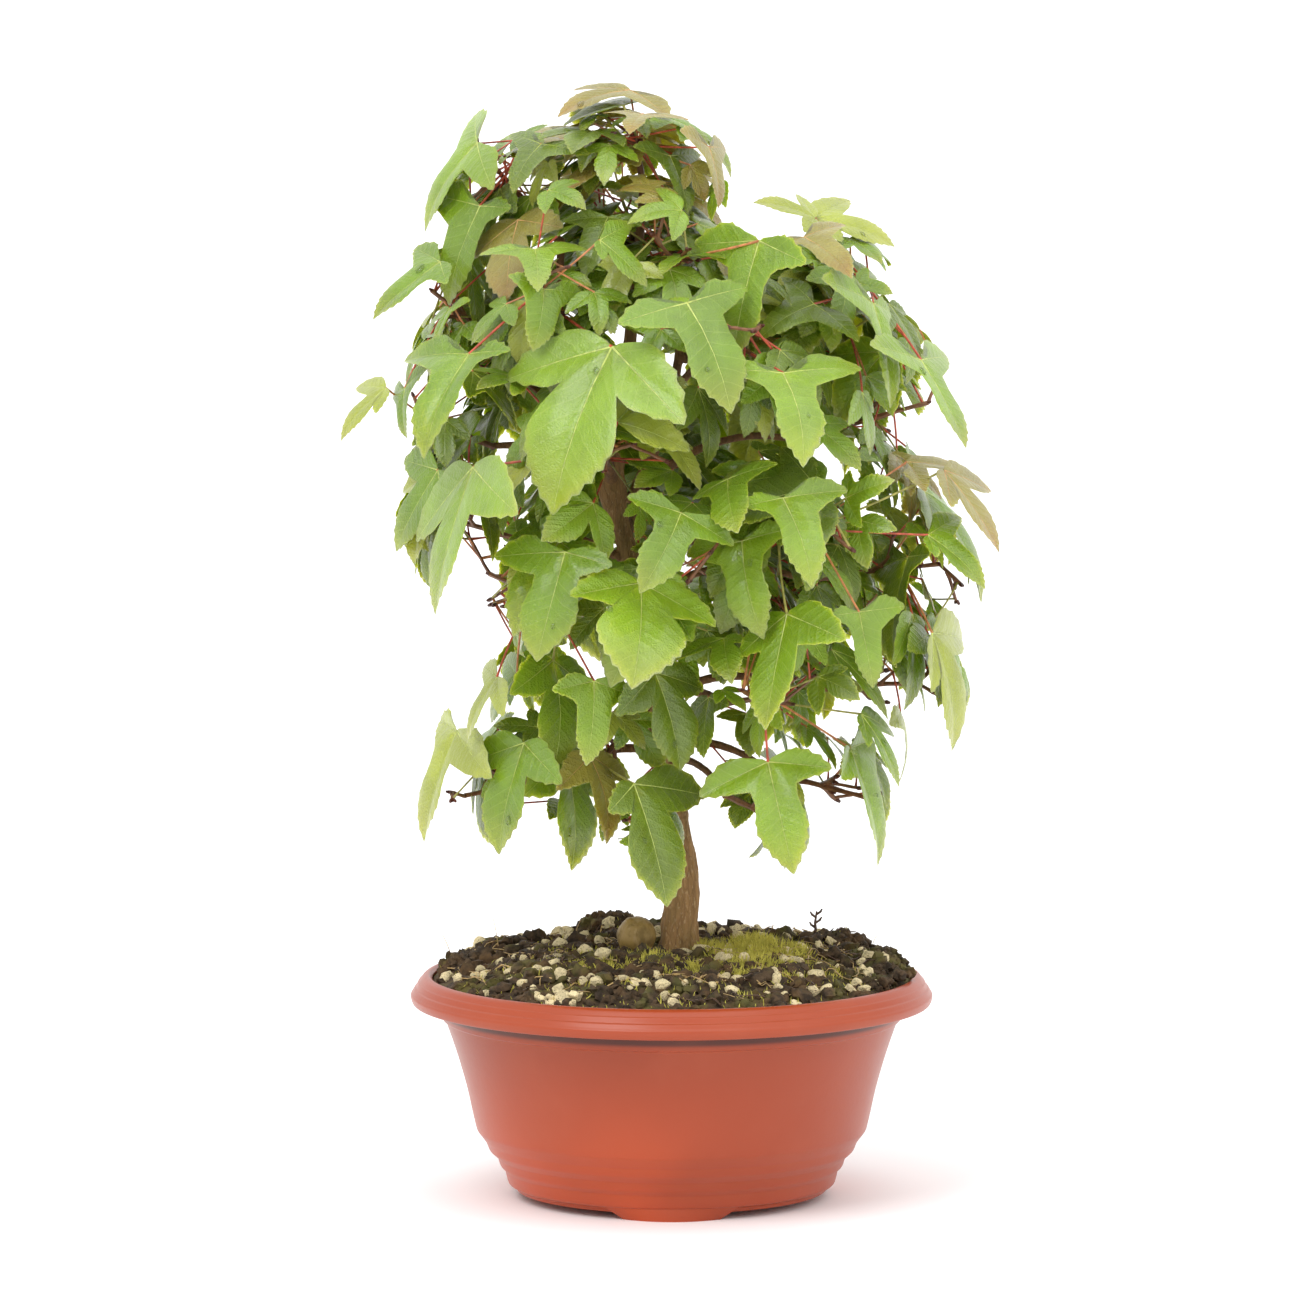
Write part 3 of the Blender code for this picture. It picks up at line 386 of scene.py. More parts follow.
# Leaves on the side that faces the camera, as they look from there: the joint, the tip of the middle
# lobe and the tips of the two side lobes in points of the picture, how deep the leaf lies, its tint, and
# how broad its lobes are where that isn't left to chance
PICTURE = 1300
SENSOR = 36
LAYER = 15  # millimetres between two depths
SEEN_RATIO = 0.58  # half a blade's width between its side tips, as a share of its length
SEEN_LEAVES = (
    (630, 90, 558, 118, 571, 92, 654, 77, 1, "bronze"), (643, 114, 630, 135, 604, 108, 691, 115, 0, "bronze"),
    (709, 147, 718, 208, 690, 122, 725, 140, 0, "bronze"),
    (670, 156, 688, 215, 645, 140, 706, 147, 1, "deep"), (592, 131, 572, 154, 553, 145, 638, 152, 1, "deep"),
    (541, 144, 512, 194, 511, 122, 592, 142, 0, "deep"), (477, 143, 425, 233, 476, 112, 466, 162, 0, "fresh"),
    (500, 157, 450, 192, 509, 135, 492, 168, 1, "mid"), (480, 206, 449, 306, 426, 194, 508, 208, 0, "mid"),
    (518, 220, 507, 302, 468, 262, 563, 228, 1, "bronze"),
    (535, 249, 537, 294, 473, 248, 579, 242, 0, "fresh"), (544, 289, 533, 352, 511, 272, 584, 290, 0, "mid"),
    (440, 262, 373, 320, 415, 248, 447, 284, 0, "mid"), (468, 258, 476, 336, 453, 292, 492, 300, 1, "mid"),
    (450, 308, 436, 342, 437, 300, 418, 334, 1, "fresh"),
    (548, 163, 533, 208, 538, 190, 558, 182, 1, "yellow"),
    (608, 217, 585, 278, 563, 222, 642, 226, 1, "deep"), (600, 240, 647, 287, 602, 257, 634, 222, 0, "mid"),
    (548, 190, 586, 210, 545, 214, 580, 182, 0, "mid"), (684, 256, 661, 276, 650, 243, 726, 240, 1, "mid"),
    (690, 165, 705, 202, 686, 190, 722, 176, 1, "bronze"),
    (722, 180, 712, 222, 702, 204, 726, 208, 1, "fresh"), (759, 241, 733, 364, 693, 245, 806, 263, 0, "mid"),
    (815, 218, 753, 203, 796, 194, 804, 232, 1, "yellow"),
    (815, 218, 895, 247, 842, 242, 850, 200, 1, "yellow"),
    (804, 237, 852, 279, 783, 245, 849, 224, 0, "bronze"), (850, 238, 882, 264, 838, 252, 876, 244, 1, "mid"),
    (857, 283, 893, 294, 862, 304, 868, 268, 1, "mid"), (873, 303, 890, 408, 875, 268, 890, 312, 0, "fresh"),
    (814, 304, 758, 340, 790, 266, 868, 331, 1, "deep"), (889, 304, 921, 360, 884, 336, 906, 314, 1, "deep"),
    (921, 360, 966, 448, 912, 324, 950, 358, 0, "fresh"), (908, 340, 906, 385, 890, 365, 921, 378, 2, "mid"),
    (783, 373, 803, 467, 722, 364, 857, 362, 0, "fresh"), (687, 303, 731, 413, 618, 324, 748, 287, 0, "mid"),
    (612, 347, 553, 514, 506, 380, 684, 424, 0, "fresh", 1.2),
    (698, 388, 706, 468, 672, 440, 723, 445, 2, "deep"), (469, 354, 424, 459, 397, 361, 504, 350, 0, "mid"),
    (386, 388, 341, 441, 350, 387, 372, 408, 1, "yellow"), (405, 388, 407, 438, 380, 402, 384, 370, 1, "mid"),
    (473, 372, 517, 433, 468, 398, 492, 382, 1, "deep"), (517, 378, 476, 390, 472, 372, 512, 398, 1, "mid"),
    (438, 470, 396, 552, 404, 460, 446, 512, 1, "mid"), (446, 420, 446, 468, 412, 446, 470, 440, 2, "deep"),
    (473, 467, 435, 616, 412, 546, 456, 518, 0, "fresh"), (474, 472, 492, 562, 464, 500, 482, 508, 2, "deep"),
    (484, 478, 495, 526, 474, 500, 490, 505, 2, "mid"), (517, 476, 503, 536, 498, 502, 524, 508, 2, "deep"),
    (866, 376, 893, 417, 862, 406, 908, 392, 2, "mid"), (813, 424, 861, 471, 806, 456, 850, 424, 1, "mid"),
    (862, 392, 870, 456, 848, 425, 874, 412, 1, "fresh"),
    (907, 462, 968, 475, 925, 492, 892, 451, 1, "bronze"),
    (944, 470, 999, 552, 951, 507, 975, 513, 0, "bronze"),
    (906, 466, 942, 500, 914, 506, 924, 478, 2, "bronze"), (728, 479, 738, 533, 692, 500, 778, 464, 1, "mid"),
    (672, 470, 634, 488, 628, 468, 668, 500, 2, "fresh"),
    (783, 498, 812, 588, 742, 507, 848, 490, 0, "fresh"), (846, 498, 895, 480, 862, 528, 850, 470, 1, "mid"),
    (858, 520, 868, 569, 842, 540, 897, 530, 1, "mid"),
    (565, 552, 537, 662, 494, 557, 612, 566, 0, "mid", 1.15),
    (593, 503, 541, 541, 548, 497, 605, 562, 1, "fresh"),
    (641, 584, 632, 689, 570, 597, 716, 628, 0, "fresh", 1.5),
    (681, 513, 640, 593, 627, 497, 734, 546, 0, "mid"), (640, 505, 635, 542, 623, 516, 652, 526, 2, "fresh"),
    (742, 541, 764, 639, 686, 555, 792, 528, 1, "fresh"), (787, 614, 766, 730, 737, 658, 846, 640, 0, "mid"),
    (859, 612, 873, 689, 830, 616, 905, 606, 0, "fresh"), (814, 555, 853, 613, 806, 592, 838, 566, 1, "mid"),
    (838, 545, 856, 602, 818, 580, 868, 572, 2, "deep"), (928, 535, 985, 589, 935, 554, 963, 515, 0, "mid"),
    (932, 633, 952, 752, 968, 640, 936, 690, 0, "yellow"), (928, 634, 938, 707, 908, 650, 949, 690, 1, "mid"),
    (912, 614, 904, 710, 893, 666, 928, 682, 1, "mid"), (908, 557, 897, 668, 870, 572, 931, 554, 2, "deep"),
    (818, 677, 860, 700, 819, 716, 848, 668, 0, "deep"), (832, 650, 888, 720, 850, 702, 870, 668, 1, "mid"),
    (861, 714, 899, 787, 872, 745, 898, 738, 0, "mid"), (850, 748, 878, 868, 852, 778, 873, 739, 0, "fresh"),
    (806, 727, 836, 770, 806, 748, 828, 742, 1, "mid"), (768, 762, 794, 874, 699, 797, 832, 768, 0, "fresh"),
    (752, 790, 735, 829, 720, 808, 764, 815, 2, "deep", 1.4),
    (634, 784, 667, 907, 609, 812, 706, 796, 0, "deep", 1.25),
    (590, 756, 606, 844, 556, 790, 628, 784, 1, "bronze"),
    (594, 681, 586, 766, 552, 690, 635, 697, 0, "fresh"),
    (613, 712, 646, 750, 600, 757, 632, 724, 1, "yellow"),
    (553, 660, 553, 770, 510, 694, 594, 700, 1, "mid", 1.25),
    (524, 743, 499, 855, 470, 763, 562, 784, 0, "mid"),
    (566, 752, 571, 871, 524, 796, 606, 800, 1, "mid", 1.25),
    (457, 731, 424, 843, 440, 720, 442, 762, 0, "yellow"),
    (497, 677, 467, 743, 484, 666, 476, 700, 0, "yellow"), (517, 676, 491, 724, 506, 657, 510, 706, 1, "mid"),
    (538, 727, 493, 726, 524, 745, 530, 708, 1, "deep"),
    (655, 672, 680, 771, 616, 716, 704, 690, 1, "deep", 1.25),
    (724, 638, 732, 684, 672, 662, 746, 642, 1, "mid"), (709, 697, 704, 758, 684, 722, 729, 706, 1, "deep"),
    (765, 700, 760, 758, 744, 736, 784, 733, 1, "fresh"), (797, 690, 799, 739, 783, 713, 816, 712, 1, "mid"),
    (560, 800, 578, 844, 548, 822, 586, 826, 3, "deep"), (620, 800, 602, 842, 590, 812, 628, 826, 3, "deep"),
    (884, 352, 838, 424, 828, 356, 896, 410, 2, "mid", 1.3),
    (747, 714, 750, 757, 716, 717, 772, 722, 2, "deep", 1.2),
    (722, 690, 746, 712, 716, 704, 744, 692, 1, "fresh"), (604, 608, 570, 650, 566, 610, 600, 650, 2, "deep"),
)
CROWN_FRONT = (  # height, middle and half width of the crown, from which its front is taken
    (80, 0, 36), (98, 0, 46), (115, 3, 62), (140, 8, 76), (170, 12, 84), (200, 4, 93), (225, -2, 95),
    (250, -3, 90), (280, 0, 74), (310, -8, 46), (345, -8, 18),
)
FRONT_DEPTH = 0.78  # how far forward the front lies, as a share of the half width
BODY_OUTLINE = (  # how far the crown's mass of leaves reaches in the picture
    (508, 125), (540, 116), (575, 122), (600, 84), (650, 84), (690, 112), (722, 128), (730, 170), (722, 212),
    (752, 220), (760, 200), (800, 194), (850, 206), (890, 232), (893, 262), (886, 290), (905, 305),
    (930, 335), (935, 375), (908, 400), (905, 425), (890, 440), (925, 446), (965, 470), (996, 545),
    (960, 520), (984, 585), (945, 560), (940, 600), (965, 630), (975, 690), (955, 740), (930, 705),
    (905, 712), (910, 780), (893, 785), (885, 850), (868, 800), (840, 765), (806, 800), (800, 868),
    (765, 850), (745, 828), (718, 812), (700, 800), (680, 812), (676, 860), (667, 905), (640, 880),
    (618, 835), (600, 842), (571, 868), (545, 850), (538, 792), (520, 800), (500, 852), (475, 815),
    (468, 765), (470, 700), (490, 660), (507, 655), (515, 620), (500, 570), (500, 500), (488, 560),
    (470, 520), (440, 540), (428, 600), (412, 560), (394, 545), (402, 490), (415, 440), (430, 430),
    (432, 400), (425, 380), (398, 365), (350, 395), (345, 380), (390, 365), (425, 335), (418, 330),
    (437, 298), (440, 270), (375, 318), (395, 280), (440, 262), (415, 250), (445, 232), (422, 232),
    (426, 190), (450, 150), (476, 112), (482, 143), (500, 150),
)
SKY = (  # places where one looks through the crown: middle and radius
    (614, 552, 9), (592, 640, 9), (575, 630, 5), (590, 612, 5), (705, 684, 11), (690, 766, 10), (690, 738, 5),
    (646, 765, 8), (722, 742, 12), (742, 756, 7), (585, 257, 5), (553, 326, 9), (583, 283, 4), (631, 460, 6),
    (731, 437, 8), (792, 345, 4), (814, 450, 5), (830, 472, 9), (592, 487, 4), (873, 578, 6), (910, 597, 5),
    (910, 517, 4), (790, 582, 6), (798, 597, 4), (714, 612, 5), (694, 570, 6), (850, 646, 10), (880, 668, 5),
    (508, 698, 5), (481, 722, 5), (522, 648, 6), (608, 187, 10), (622, 205, 9), (657, 161, 4), (670, 174, 9),
    (655, 236, 8), (629, 238, 7), (677, 221, 4), (532, 188, 9), (715, 192, 4), (455, 405, 9), (490, 455, 6),
    (905, 640, 4), (920, 660, 6), (508, 137, 8), (502, 174, 12), (482, 150, 6), (486, 182, 8), (448, 214, 8),
    (437, 289, 9), (462, 391, 9), (490, 500, 9), (492, 520, 9), (488, 542, 9), (502, 532, 8), (509, 508, 8),
    (465, 515, 7), (490, 564, 8), (498, 585, 9), (505, 605, 8), (503, 622, 7), (840, 700, 13), (851, 726, 16),
    (872, 722, 13), (886, 698, 10), (889, 678, 9), (891, 742, 11), (893, 772, 10), (880, 738, 9),
    (829, 722, 9), (815, 746, 9), (820, 778, 9), (836, 788, 9), (806, 792, 8), (926, 664, 9), (930, 682, 6),
    (918, 700, 7), (953, 716, 9), (950, 690, 7), (947, 574, 13), (932, 560, 8), (958, 562, 7), (940, 590, 8),
    (903, 428, 9), (900, 441, 7), (912, 446, 6), (800, 345, 7), (647, 778, 7), (725, 182, 8), (727, 198, 7),
    (724, 165, 5), (860, 668, 8), (855, 268, 5), (770, 462, 4),
)
TRUNK_SEEN = ((612, 478, 9), (620, 515, 10), (632, 555, 9), (666, 762, 9), (690, 830, 10))


def frame_along(direction):
    """Two unit vectors square to a direction."""
    helper = UP if abs(direction.z) < 0.9 else Vector((1, 0, 0))
    side = direction.cross(helper).normalized()
    return side, side.cross(direction).normalized()


def clamp(value, low, high):
    return max(low, min(high, value))


def around(side, lift, turn):
    """The way that a turn from one of two square ways towards the other leads."""
    return side * math.cos(turn) + lift * math.sin(turn)


def turns(sides):
    """Even turns round a ring."""
    return [math.tau * k / sides for k in range(sides)]


def tube_faces(rings, sides):
    """The faces of a closed tube whose points are ring after ring."""
    last = (rings - 1) * sides
    faces = [(a + k, a + (k + 1) % sides, a + sides + (k + 1) % sides, a + sides + k)
             for a in range(0, last, sides) for k in range(sides)]
    return [*faces, tuple(range(sides))[::-1], tuple(range(last, last + sides))]


def tube(course, sides):
    """Points and faces of a closed tube along (point, radius) stations."""
    points = []
    for i, (middle, radius) in enumerate(course):
        ahead = course[min(i + 1, len(course) - 1)][0] - course[max(i - 1, 0)][0]
        side, lift = frame_along(ahead.normalized())
        points += [middle + around(side, lift, turn) * radius for turn in turns(sides)]
    return points, tube_faces(len(course), sides)


def trunk_shape(course):
    """Level rings up the trunk, so that its foot is a flat cut on the soil."""
    points = []
    for i, (middle, radius) in enumerate(course):
        for turn in turns(TRUNK_SIDES):
            flare = 1 + (FLARE * math.cos(BUTTRESSES * turn + FLARE_TURN) if i == 0 else 0)
            points.append(middle + Vector((math.cos(turn), math.sin(turn), 0)) * radius * flare)
    return points, tube_faces(len(course), TRUNK_SIDES)


def outside(point, course, tree):
    """How far a point lies outside a limb's surface, below 0 inside it."""
    surface, _, _, distance = tree.find_nearest(point)
    spots = []
    for (a, _), (b, _) in zip(course, course[1:]):
        along = b - a
        share = clamp((point - a).dot(along) / along.length_squared, 0, 1)
        spots.append(a + along * share)
    axis = min(spots, key=lambda spot: (spot - point).length)
    return distance if (point - axis).length > (surface - axis).length else -distance


def at_height(course, height):
    """The point of a rising limb's middle line at a height, and its radius there."""
    for (a, ra), (b, rb) in zip(course, course[1:]):
        if a.z <= height <= b.z:
            share = (height - a.z) / (b.z - a.z)
            return a.lerp(b, share), ra + (rb - ra) * share
    return course[-1]


def arc(start, bend, end, share):
    """A point on the smooth curve from start to end that leans towards bend."""
    return start.lerp(bend, share).lerp(bend.lerp(end, share), share)


def limb(start, bend, end, wide, tip, parent, course):
    """A tapering limb's stations, from a gap outside its parent's surface to its tip."""
    tree = tree_of(*(trunk_shape(course) if parent == "trunk" else tube(course, BOUGH_SIDES)))
    step, first = 0.005, 0.0
    while first < 1:
        spots = [arc(start, bend, end, first + step * i) for i in range(2)]
        ring = tube([(spot, wide / 2) for spot in spots], BOUGH_SIDES)[0][:BOUGH_SIDES]
        if min(outside(p, course, tree) for p in ring) >= GAP:
            break
        first += step
    stations = []
    for i in range(BOUGH_SEGMENTS + 1):
        share = first + (1 - first) * i / BOUGH_SEGMENTS
        radius = (wide + (tip - wide) * (i / BOUGH_SEGMENTS) ** TAPER) / 2
        stations.append((arc(start, bend, end, share), radius))
    return stations


def all_limbs():
    """Each limb's stations by name: trunk, leaders and boughs."""
    limbs = {"trunk": [(Vector((x, y, z)), width / 2) for z, x, y, width in TRUNK]}
    for name, height, tip, bow, wide, narrow in LEADERS:
        start, _ = at_height(limbs["trunk"], height)
        end = Vector(tip)
        bend = start.lerp(end, 0.5) + Vector(bow)
        limbs[name] = limb(start, bend, end, wide, narrow, "trunk", limbs["trunk"])
    for name, parent, height, middle, _, wide, _ in MASSES:
        if not wide:
            continue
        start, _ = at_height(limbs[parent], height)
        whole = Vector(middle) - start
        end = start + whole * BOUGH_SHARE
        bend = start.lerp(end, 0.5) + UP * whole.length * BOUGH_LIFT
        tip = min(BOUGH_TIP, wide * BOUGH_NARROW)
        limbs["bough_" + name] = limb(start, bend, end, wide, tip, parent, limbs[parent])
    return limbs


def mass_space(row):
    return Vector(row[3]), Vector(row[4])


def depth_in(point, space):
    """0 at the middle of a mass's space and 1 on its skin."""
    middle, reach = space
    off = point - middle
    return math.sqrt((off.x / reach.x) ** 2 + (off.y / reach.y) ** 2 + (off.z / reach.z) ** 2)


def reaching(point, way, reach, share):
    """A point away from another by a share of a mass's reach in that direction."""
    return point + Vector([way[i] * reach[i] for i in range(3)]) * share


def twigs_of(row, limbs, rng):
    """One mass's stem and the side twigs that leave it in pairs, each as (point, radius) stations."""
    name, parent, height, _, _, wide, _ = row
    middle, reach = mass_space(row)
    if wide:
        course = limbs["bough_" + name]
        ahead = (course[-1][0] - course[-2][0]).normalized()
        root = course[-1][0] + ahead * GAP
    elif height >= limbs[parent][-1][0].z:
        ahead = UP.copy()
        root = limbs[parent][-1][0] + UP * GAP
    else:
        start, radius = at_height(limbs[parent], height)
        ahead = (middle - start).normalized()
        root = start + ahead * (radius + TWIG_ROOT + GAP)
    outward = (middle - root).normalized()
    end = reaching(middle, outward, reach, STEM_REACH)
    bend = root.lerp(end, 0.5) + ahead * STEM_BOW[0] + UP * STEM_BOW[1]
    stem = [(arc(root, bend, end, share), TWIG_ROOT + (TWIG_TIP - TWIG_ROOT) * share)
            for share in (0.0,) + STEM_NODES]
    twigs = [stem]
    turn = rng.uniform(0, math.pi)
    for spot, radius in stem[1:]:
        side, lift = frame_along((end - root).normalized())
        for flip in (0, math.pi):
            way = around(outward, around(side, lift, turn + flip), SIDE_ANGLE)
            far = reaching(spot, way, reach, SIDE_REACH * rng.uniform(*SIDE_LENGTH))
            if depth_in(far, (middle, reach)) < LEAF_SHELL:
                twigs.append([(spot, radius * SIDE_WIDE), (far, TWIG_TIP)])
        turn += math.pi / 2 + rng.uniform(-0.3, 0.3)
    return twigs


def nodes_of(twigs):
    """Where leaves may grow from a mass's twigs: points a node's length apart along their outer parts."""
    nodes = []
    for number, twig in enumerate(twigs):
        first = 1 if number == 0 else 0
        for (a, _), (b, _) in zip(twig[first:], twig[first + 1:]):
            length = (b - a).length
            steps = max(1, int((length - TIP_SINK) / NODE_LENGTH))
            for i in range(steps):
                nodes.append(b + (a - b).normalized() * (TIP_SINK + i * NODE_LENGTH))
    return nodes


def half_rim(leaf):
    """Half a blade's rim from its joint to its tip, as (across, along): side lobe, notch, middle lobe."""
    spread, side, length = leaf["spread"], leaf["side"], leaf["length"]
    out = Vector((math.sin(spread), math.cos(spread)))
    back = Vector((math.cos(spread), -math.sin(spread)))
    half = [out * side * LOBE_BACK[0] + back * LOBE_BACK[1], out * side, Vector(NOTCH)]
    if length > FULL_RIM:
        half.append(Vector(SHOULDER))
    return [p * length for p in half]


def blade_point(leaf, x, y, lift=0.0):
    """A point of a blade, which sags away from its middle."""
    length = leaf["length"]
    far = Vector((x, y - BLADE_MIDDLE * length)).length / length
    sag = leaf["curl"] * far**2 * length
    return leaf["joint"] + leaf["across"] * x + leaf["along"] * y + leaf["normal"] * (lift - sag)


def leaf_solid(leaf):
    """A leaf as one closed mesh: a three-sided stalk, a rim, and a point above and below the blade."""
    length, joint = leaf["length"], blade_point(leaf, 0, 0)
    side = leaf["across"]
    ahead = (joint - leaf["root"]).normalized()
    root_side = (side - ahead * side.dot(ahead)).normalized()
    turned_up = side.cross((ahead + leaf["along"]).normalized()).normalized()
    points = []
    for spot, across, lift, wide in (
        (leaf["root"], root_side, root_side.cross(ahead), STALK_WIDE * ROOT_WIDE),
        (joint, side, turned_up, STALK_WIDE),
    ):
        points += [spot + across * wide, spot - across * wide, spot - lift * wide]
    half = half_rim(leaf)
    rim = [3] + list(range(6, 7 + 2 * len(half))) + [4]
    points += [blade_point(leaf, x, y) for x, y in half] + [blade_point(leaf, 0, length)]
    points += [blade_point(leaf, -x, y) for x, y in reversed(half)]
    middle, thick = BLADE_MIDDLE * length, LEAF_THICK * length
    top, low = len(points), len(points) + 1
    points += [blade_point(leaf, 0, middle, thick / 2), blade_point(leaf, 0, middle, -thick / 2)]
    faces = [(a, b, top) for a, b in zip(rim, rim[1:])] + [(4, 3, top)]
    faces += [(b, a, low) for a, b in zip(rim, rim[1:])] + [(3, 5, low), (5, 4, low)]
    faces += [(0, 1, 4, 3), (1, 2, 5, 4), (2, 0, 3, 5), (0, 2, 1)]
    return points, faces


def blade_faces(faces):
    """The faces of a leaf that are its blade alone."""
    return [face for face in faces if min(face) > 2]


def tree_of(points, faces):
    return BVHTree.FromPolygons([tuple(p) for p in points], faces)


def sway(rng, amount):
    return Vector([rng.uniform(-1, 1) for _ in range(3)]) * amount


def face_of(blade, row, rng):
    """Which way a blade at a place faces: out of its mass and out of the crown, and up."""
    mass, crown, up, chance = FACING
    away = Vector([(blade[i] - row[3][i]) / row[4][i] for i in range(3)]).normalized()
    outer = blade - CROWN_MIDDLE
    outer.z *= CROWN_FLAT
    outer.normalize()
    return outer, (away * mass + outer * crown + UP * up + sway(rng, chance)).normalized()


def leaf_at(blade, node, row, size, outer, normal, fall):
    """A leaf whose blade lies about a point, hanging out from its node and down."""
    on, out, down, _ = HANGING
    fall = (blade - node).normalized() * on + outer * out - UP * down + fall
    along = (fall - normal * fall.dot(normal)).normalized()
    joint = blade - along * size * BLADE_CENTRE
    way = (joint - node).normalized()
    return {
        "mass": row[0], "root": node + way * ROOT_OUT, "joint": joint, "along": along, "normal": normal,
        "across": along.cross(normal), "length": size,
    }


def best_leaf(blade, row, size, nodes, used, rng):
    """The leaf from whichever node suits a place best, and that node's number."""
    outer, normal = face_of(blade, row, rng)
    fall = sway(rng, HANGING[3])
    shape = leaf_shape(rng)
    best, lowest = (None, None), 1e9
    for number, node in enumerate(nodes):
        leaf = leaf_at(blade, node, row, size, outer, normal, fall)
        if not stalk_suits(leaf, used.get(number, [])):
            continue
        way = leaf["joint"] - node
        cost = abs(way.length - STALK_USUAL * size) - STALK_STRAIGHT * way.normalized().dot(leaf["along"])
        if cost < lowest:
            best, lowest = (dict(leaf, **shape), number), cost
    return best


def leaf_shape(rng):
    shape = {
        "spread": math.radians(rng.uniform(*SPREAD)), "side": rng.uniform(*SIDE_LOBE),
        "curl": rng.uniform(*CURL),
    }
    rng.random()  # the source draws one more number here
    return shape


def stalk_suits(leaf, taken):
    """Whether a leaf's stalk has a real one's length and bend, and leaves its node on a free side."""
    way = leaf["joint"] - leaf["root"]
    if not STALK_LENGTH[0] < way.length < STALK_LENGTH[1]:
        return False
    way.normalize()
    if way.dot(leaf["normal"] + leaf["along"]) < STALK_BEND:
        return False
    return len(taken) < NODE_STALKS and all(way.dot(other) < STALKS_APART for other in taken)


def shell_points(row, share, spacing, rng):
    """Evenly spread points on a mass's shell, by turns of the golden angle."""
    middle, reach = mass_space(row)
    mean = (reach.x + reach.y + reach.z) / 3 * share
    count = max(3, round(4 * math.pi * mean**2 / spacing**2))
    spin = rng.uniform(0, math.tau)
    for i in range(count):
        z = 1 - (2 * i + 1) / count
        turn = spin + i * math.pi * (3 - math.sqrt(5))
        flat = math.sqrt(1 - z * z)
        way = Vector((flat * math.cos(turn), flat * math.sin(turn), z))
        yield reaching(middle, way, reach, share + rng.uniform(-1, 1) * SHELL_DEPTH)


def leaf_places(shells, lengths, rng):
    """Each leaf's size, place and mass. A place belongs to the mass that it is deepest in."""
    spaces = {row[0]: mass_space(row) for row in MASSES}
    low, high, usual = lengths
    for shell, gap in shells:
        for row in MASSES:
            for blade in shell_points(row, shell, gap, rng):
                size = rng.triangular(low, high, usual) * row[6]
                if min(spaces, key=lambda name: depth_in(blade, spaces[name])) == row[0]:
                    yield size, blade, row


def grow(limbs):
    """Twigs and leaves of every mass. A leaf that leaves its space or meets anything is skipped."""
    rng = random.Random(SEED)
    wide_limbs = [[(p, r + LIMB_CLEAR) for p, r in course] for course in limbs.values()]
    limb_trees = [tree_of(*tube(course, BOUGH_SIDES)) for course in wide_limbs]
    twigs, nodes, used, blocks = {}, {}, {}, []
    for row in MASSES:
        twigs[row[0]] = twigs_of(row, limbs, rng)
        nodes[row[0]] = nodes_of(twigs[row[0]])
        used[row[0]] = {}
        for twig in twigs[row[0]]:
            tree = tree_of(*tube([(p, r + TWIG_CLEAR) for p, r in twig], TWIG_SIDES))
            blocks.append(("twig", row[0], twig[0][0].lerp(twig[-1][0], 0.5), tree))
    wood = [spot for own in nodes.values() for spot in own] + along_limbs(limbs)
    leaves, seen = place_seen(limb_trees, random.Random(SEEN_SEED))
    front = Front(leaves)
    roots = np.array([tuple(spot) for spot in wood])
    hidden = front.hides(roots)
    for leaf in leaves:
        leaf["root"] = root_for(leaf, roots, hidden)
    blocks += seen
    leaves.append(set_leaf(nodes[SET_LEAF[0]], used[SET_LEAF[0]], rng))
    blocks += blocks_of(leaves[-1])
    crown = Crown(leaves, blocks, limb_trees, front)
    places = leaf_places(LEAF_SHELLS, LEAF_LENGTH, rng)
    crown.fill(sorted(places, key=lambda place: -place[0]), nodes, used, rng)
    return twigs, crown


def along_limbs(limbs):
    """Points a node's length apart on the thin limbs."""
    spots = []
    for course in limbs.values():
        for (a, radius), (b, _) in zip(course, course[1:]):
            if radius < THIN_LIMB:
                steps = max(1, int((b - a).length / NODE_LENGTH))
                spots += [a.lerp(b, i / steps) for i in range(steps)]
    return spots


def blocks_of(leaf):
    """What a leaf keeps others out of: its blade, a little larger, and the whole of it."""
    points, faces = leaf_solid(dict(leaf, length=leaf["length"] * BLADE_CLEAR))
    return [("blade", leaf["mass"], blade_centre(leaf), tree_of(points, blade_faces(faces))),
            ("leaf", leaf["mass"], blade_centre(leaf), tree_of(points, faces))]


def blade_centre(leaf):
    return leaf["joint"] + leaf["along"] * leaf["length"] * BLADE_CENTRE


def set_leaf(nodes, used, rng):
    """The listed leaf, which faces out of the crown, from the node that suits it best."""
    mass, joint, tip = SET_LEAF[0], *map(Vector, SET_LEAF[1:])
    along = (tip - joint).normalized()
    normal = Vector((joint.x, joint.y, 0)).normalized() + UP * SET_LIFT
    normal = (normal - along * normal.dot(along)).normalized()
    leaf = {
        "mass": mass, "joint": joint, "along": along, "normal": normal,
        "across": along.cross(normal), "length": (tip - joint).length, **leaf_shape(rng),
    }
    leaf["joint"] = joint + tip - blade_point(leaf, 0, leaf["length"])
    ways = {number: leaf["joint"] - node for number, node in enumerate(nodes)}
    ways = {number: way for number, way in ways.items() if way.length > STALK_LENGTH[0]}

    def suits(number):
        way = ways[number]
        return way.normalized().dot(normal + along) - way.length / STALK_LENGTH[1]

    number = max(ways, key=suits)
    used[number] = [ways[number].normalized()]
    return dict(leaf, root=nodes[number])


def in_bounds(leaf, space):
    """Whether a blade keeps to its mass's space and to the crown's reach."""
    rim = [blade_point(leaf, x * flip, y) for x, y in half_rim(leaf) for flip in (-1, 1)]
    rim.append(blade_point(leaf, 0, leaf["length"]))
    if max(depth_in(p, space) for p in rim) > SPACE_SLACK:
        return False
    return all(low < p[i] < high for p in rim for i, (low, high) in enumerate(zip(CROWN_LOW, CROWN_HIGH)))


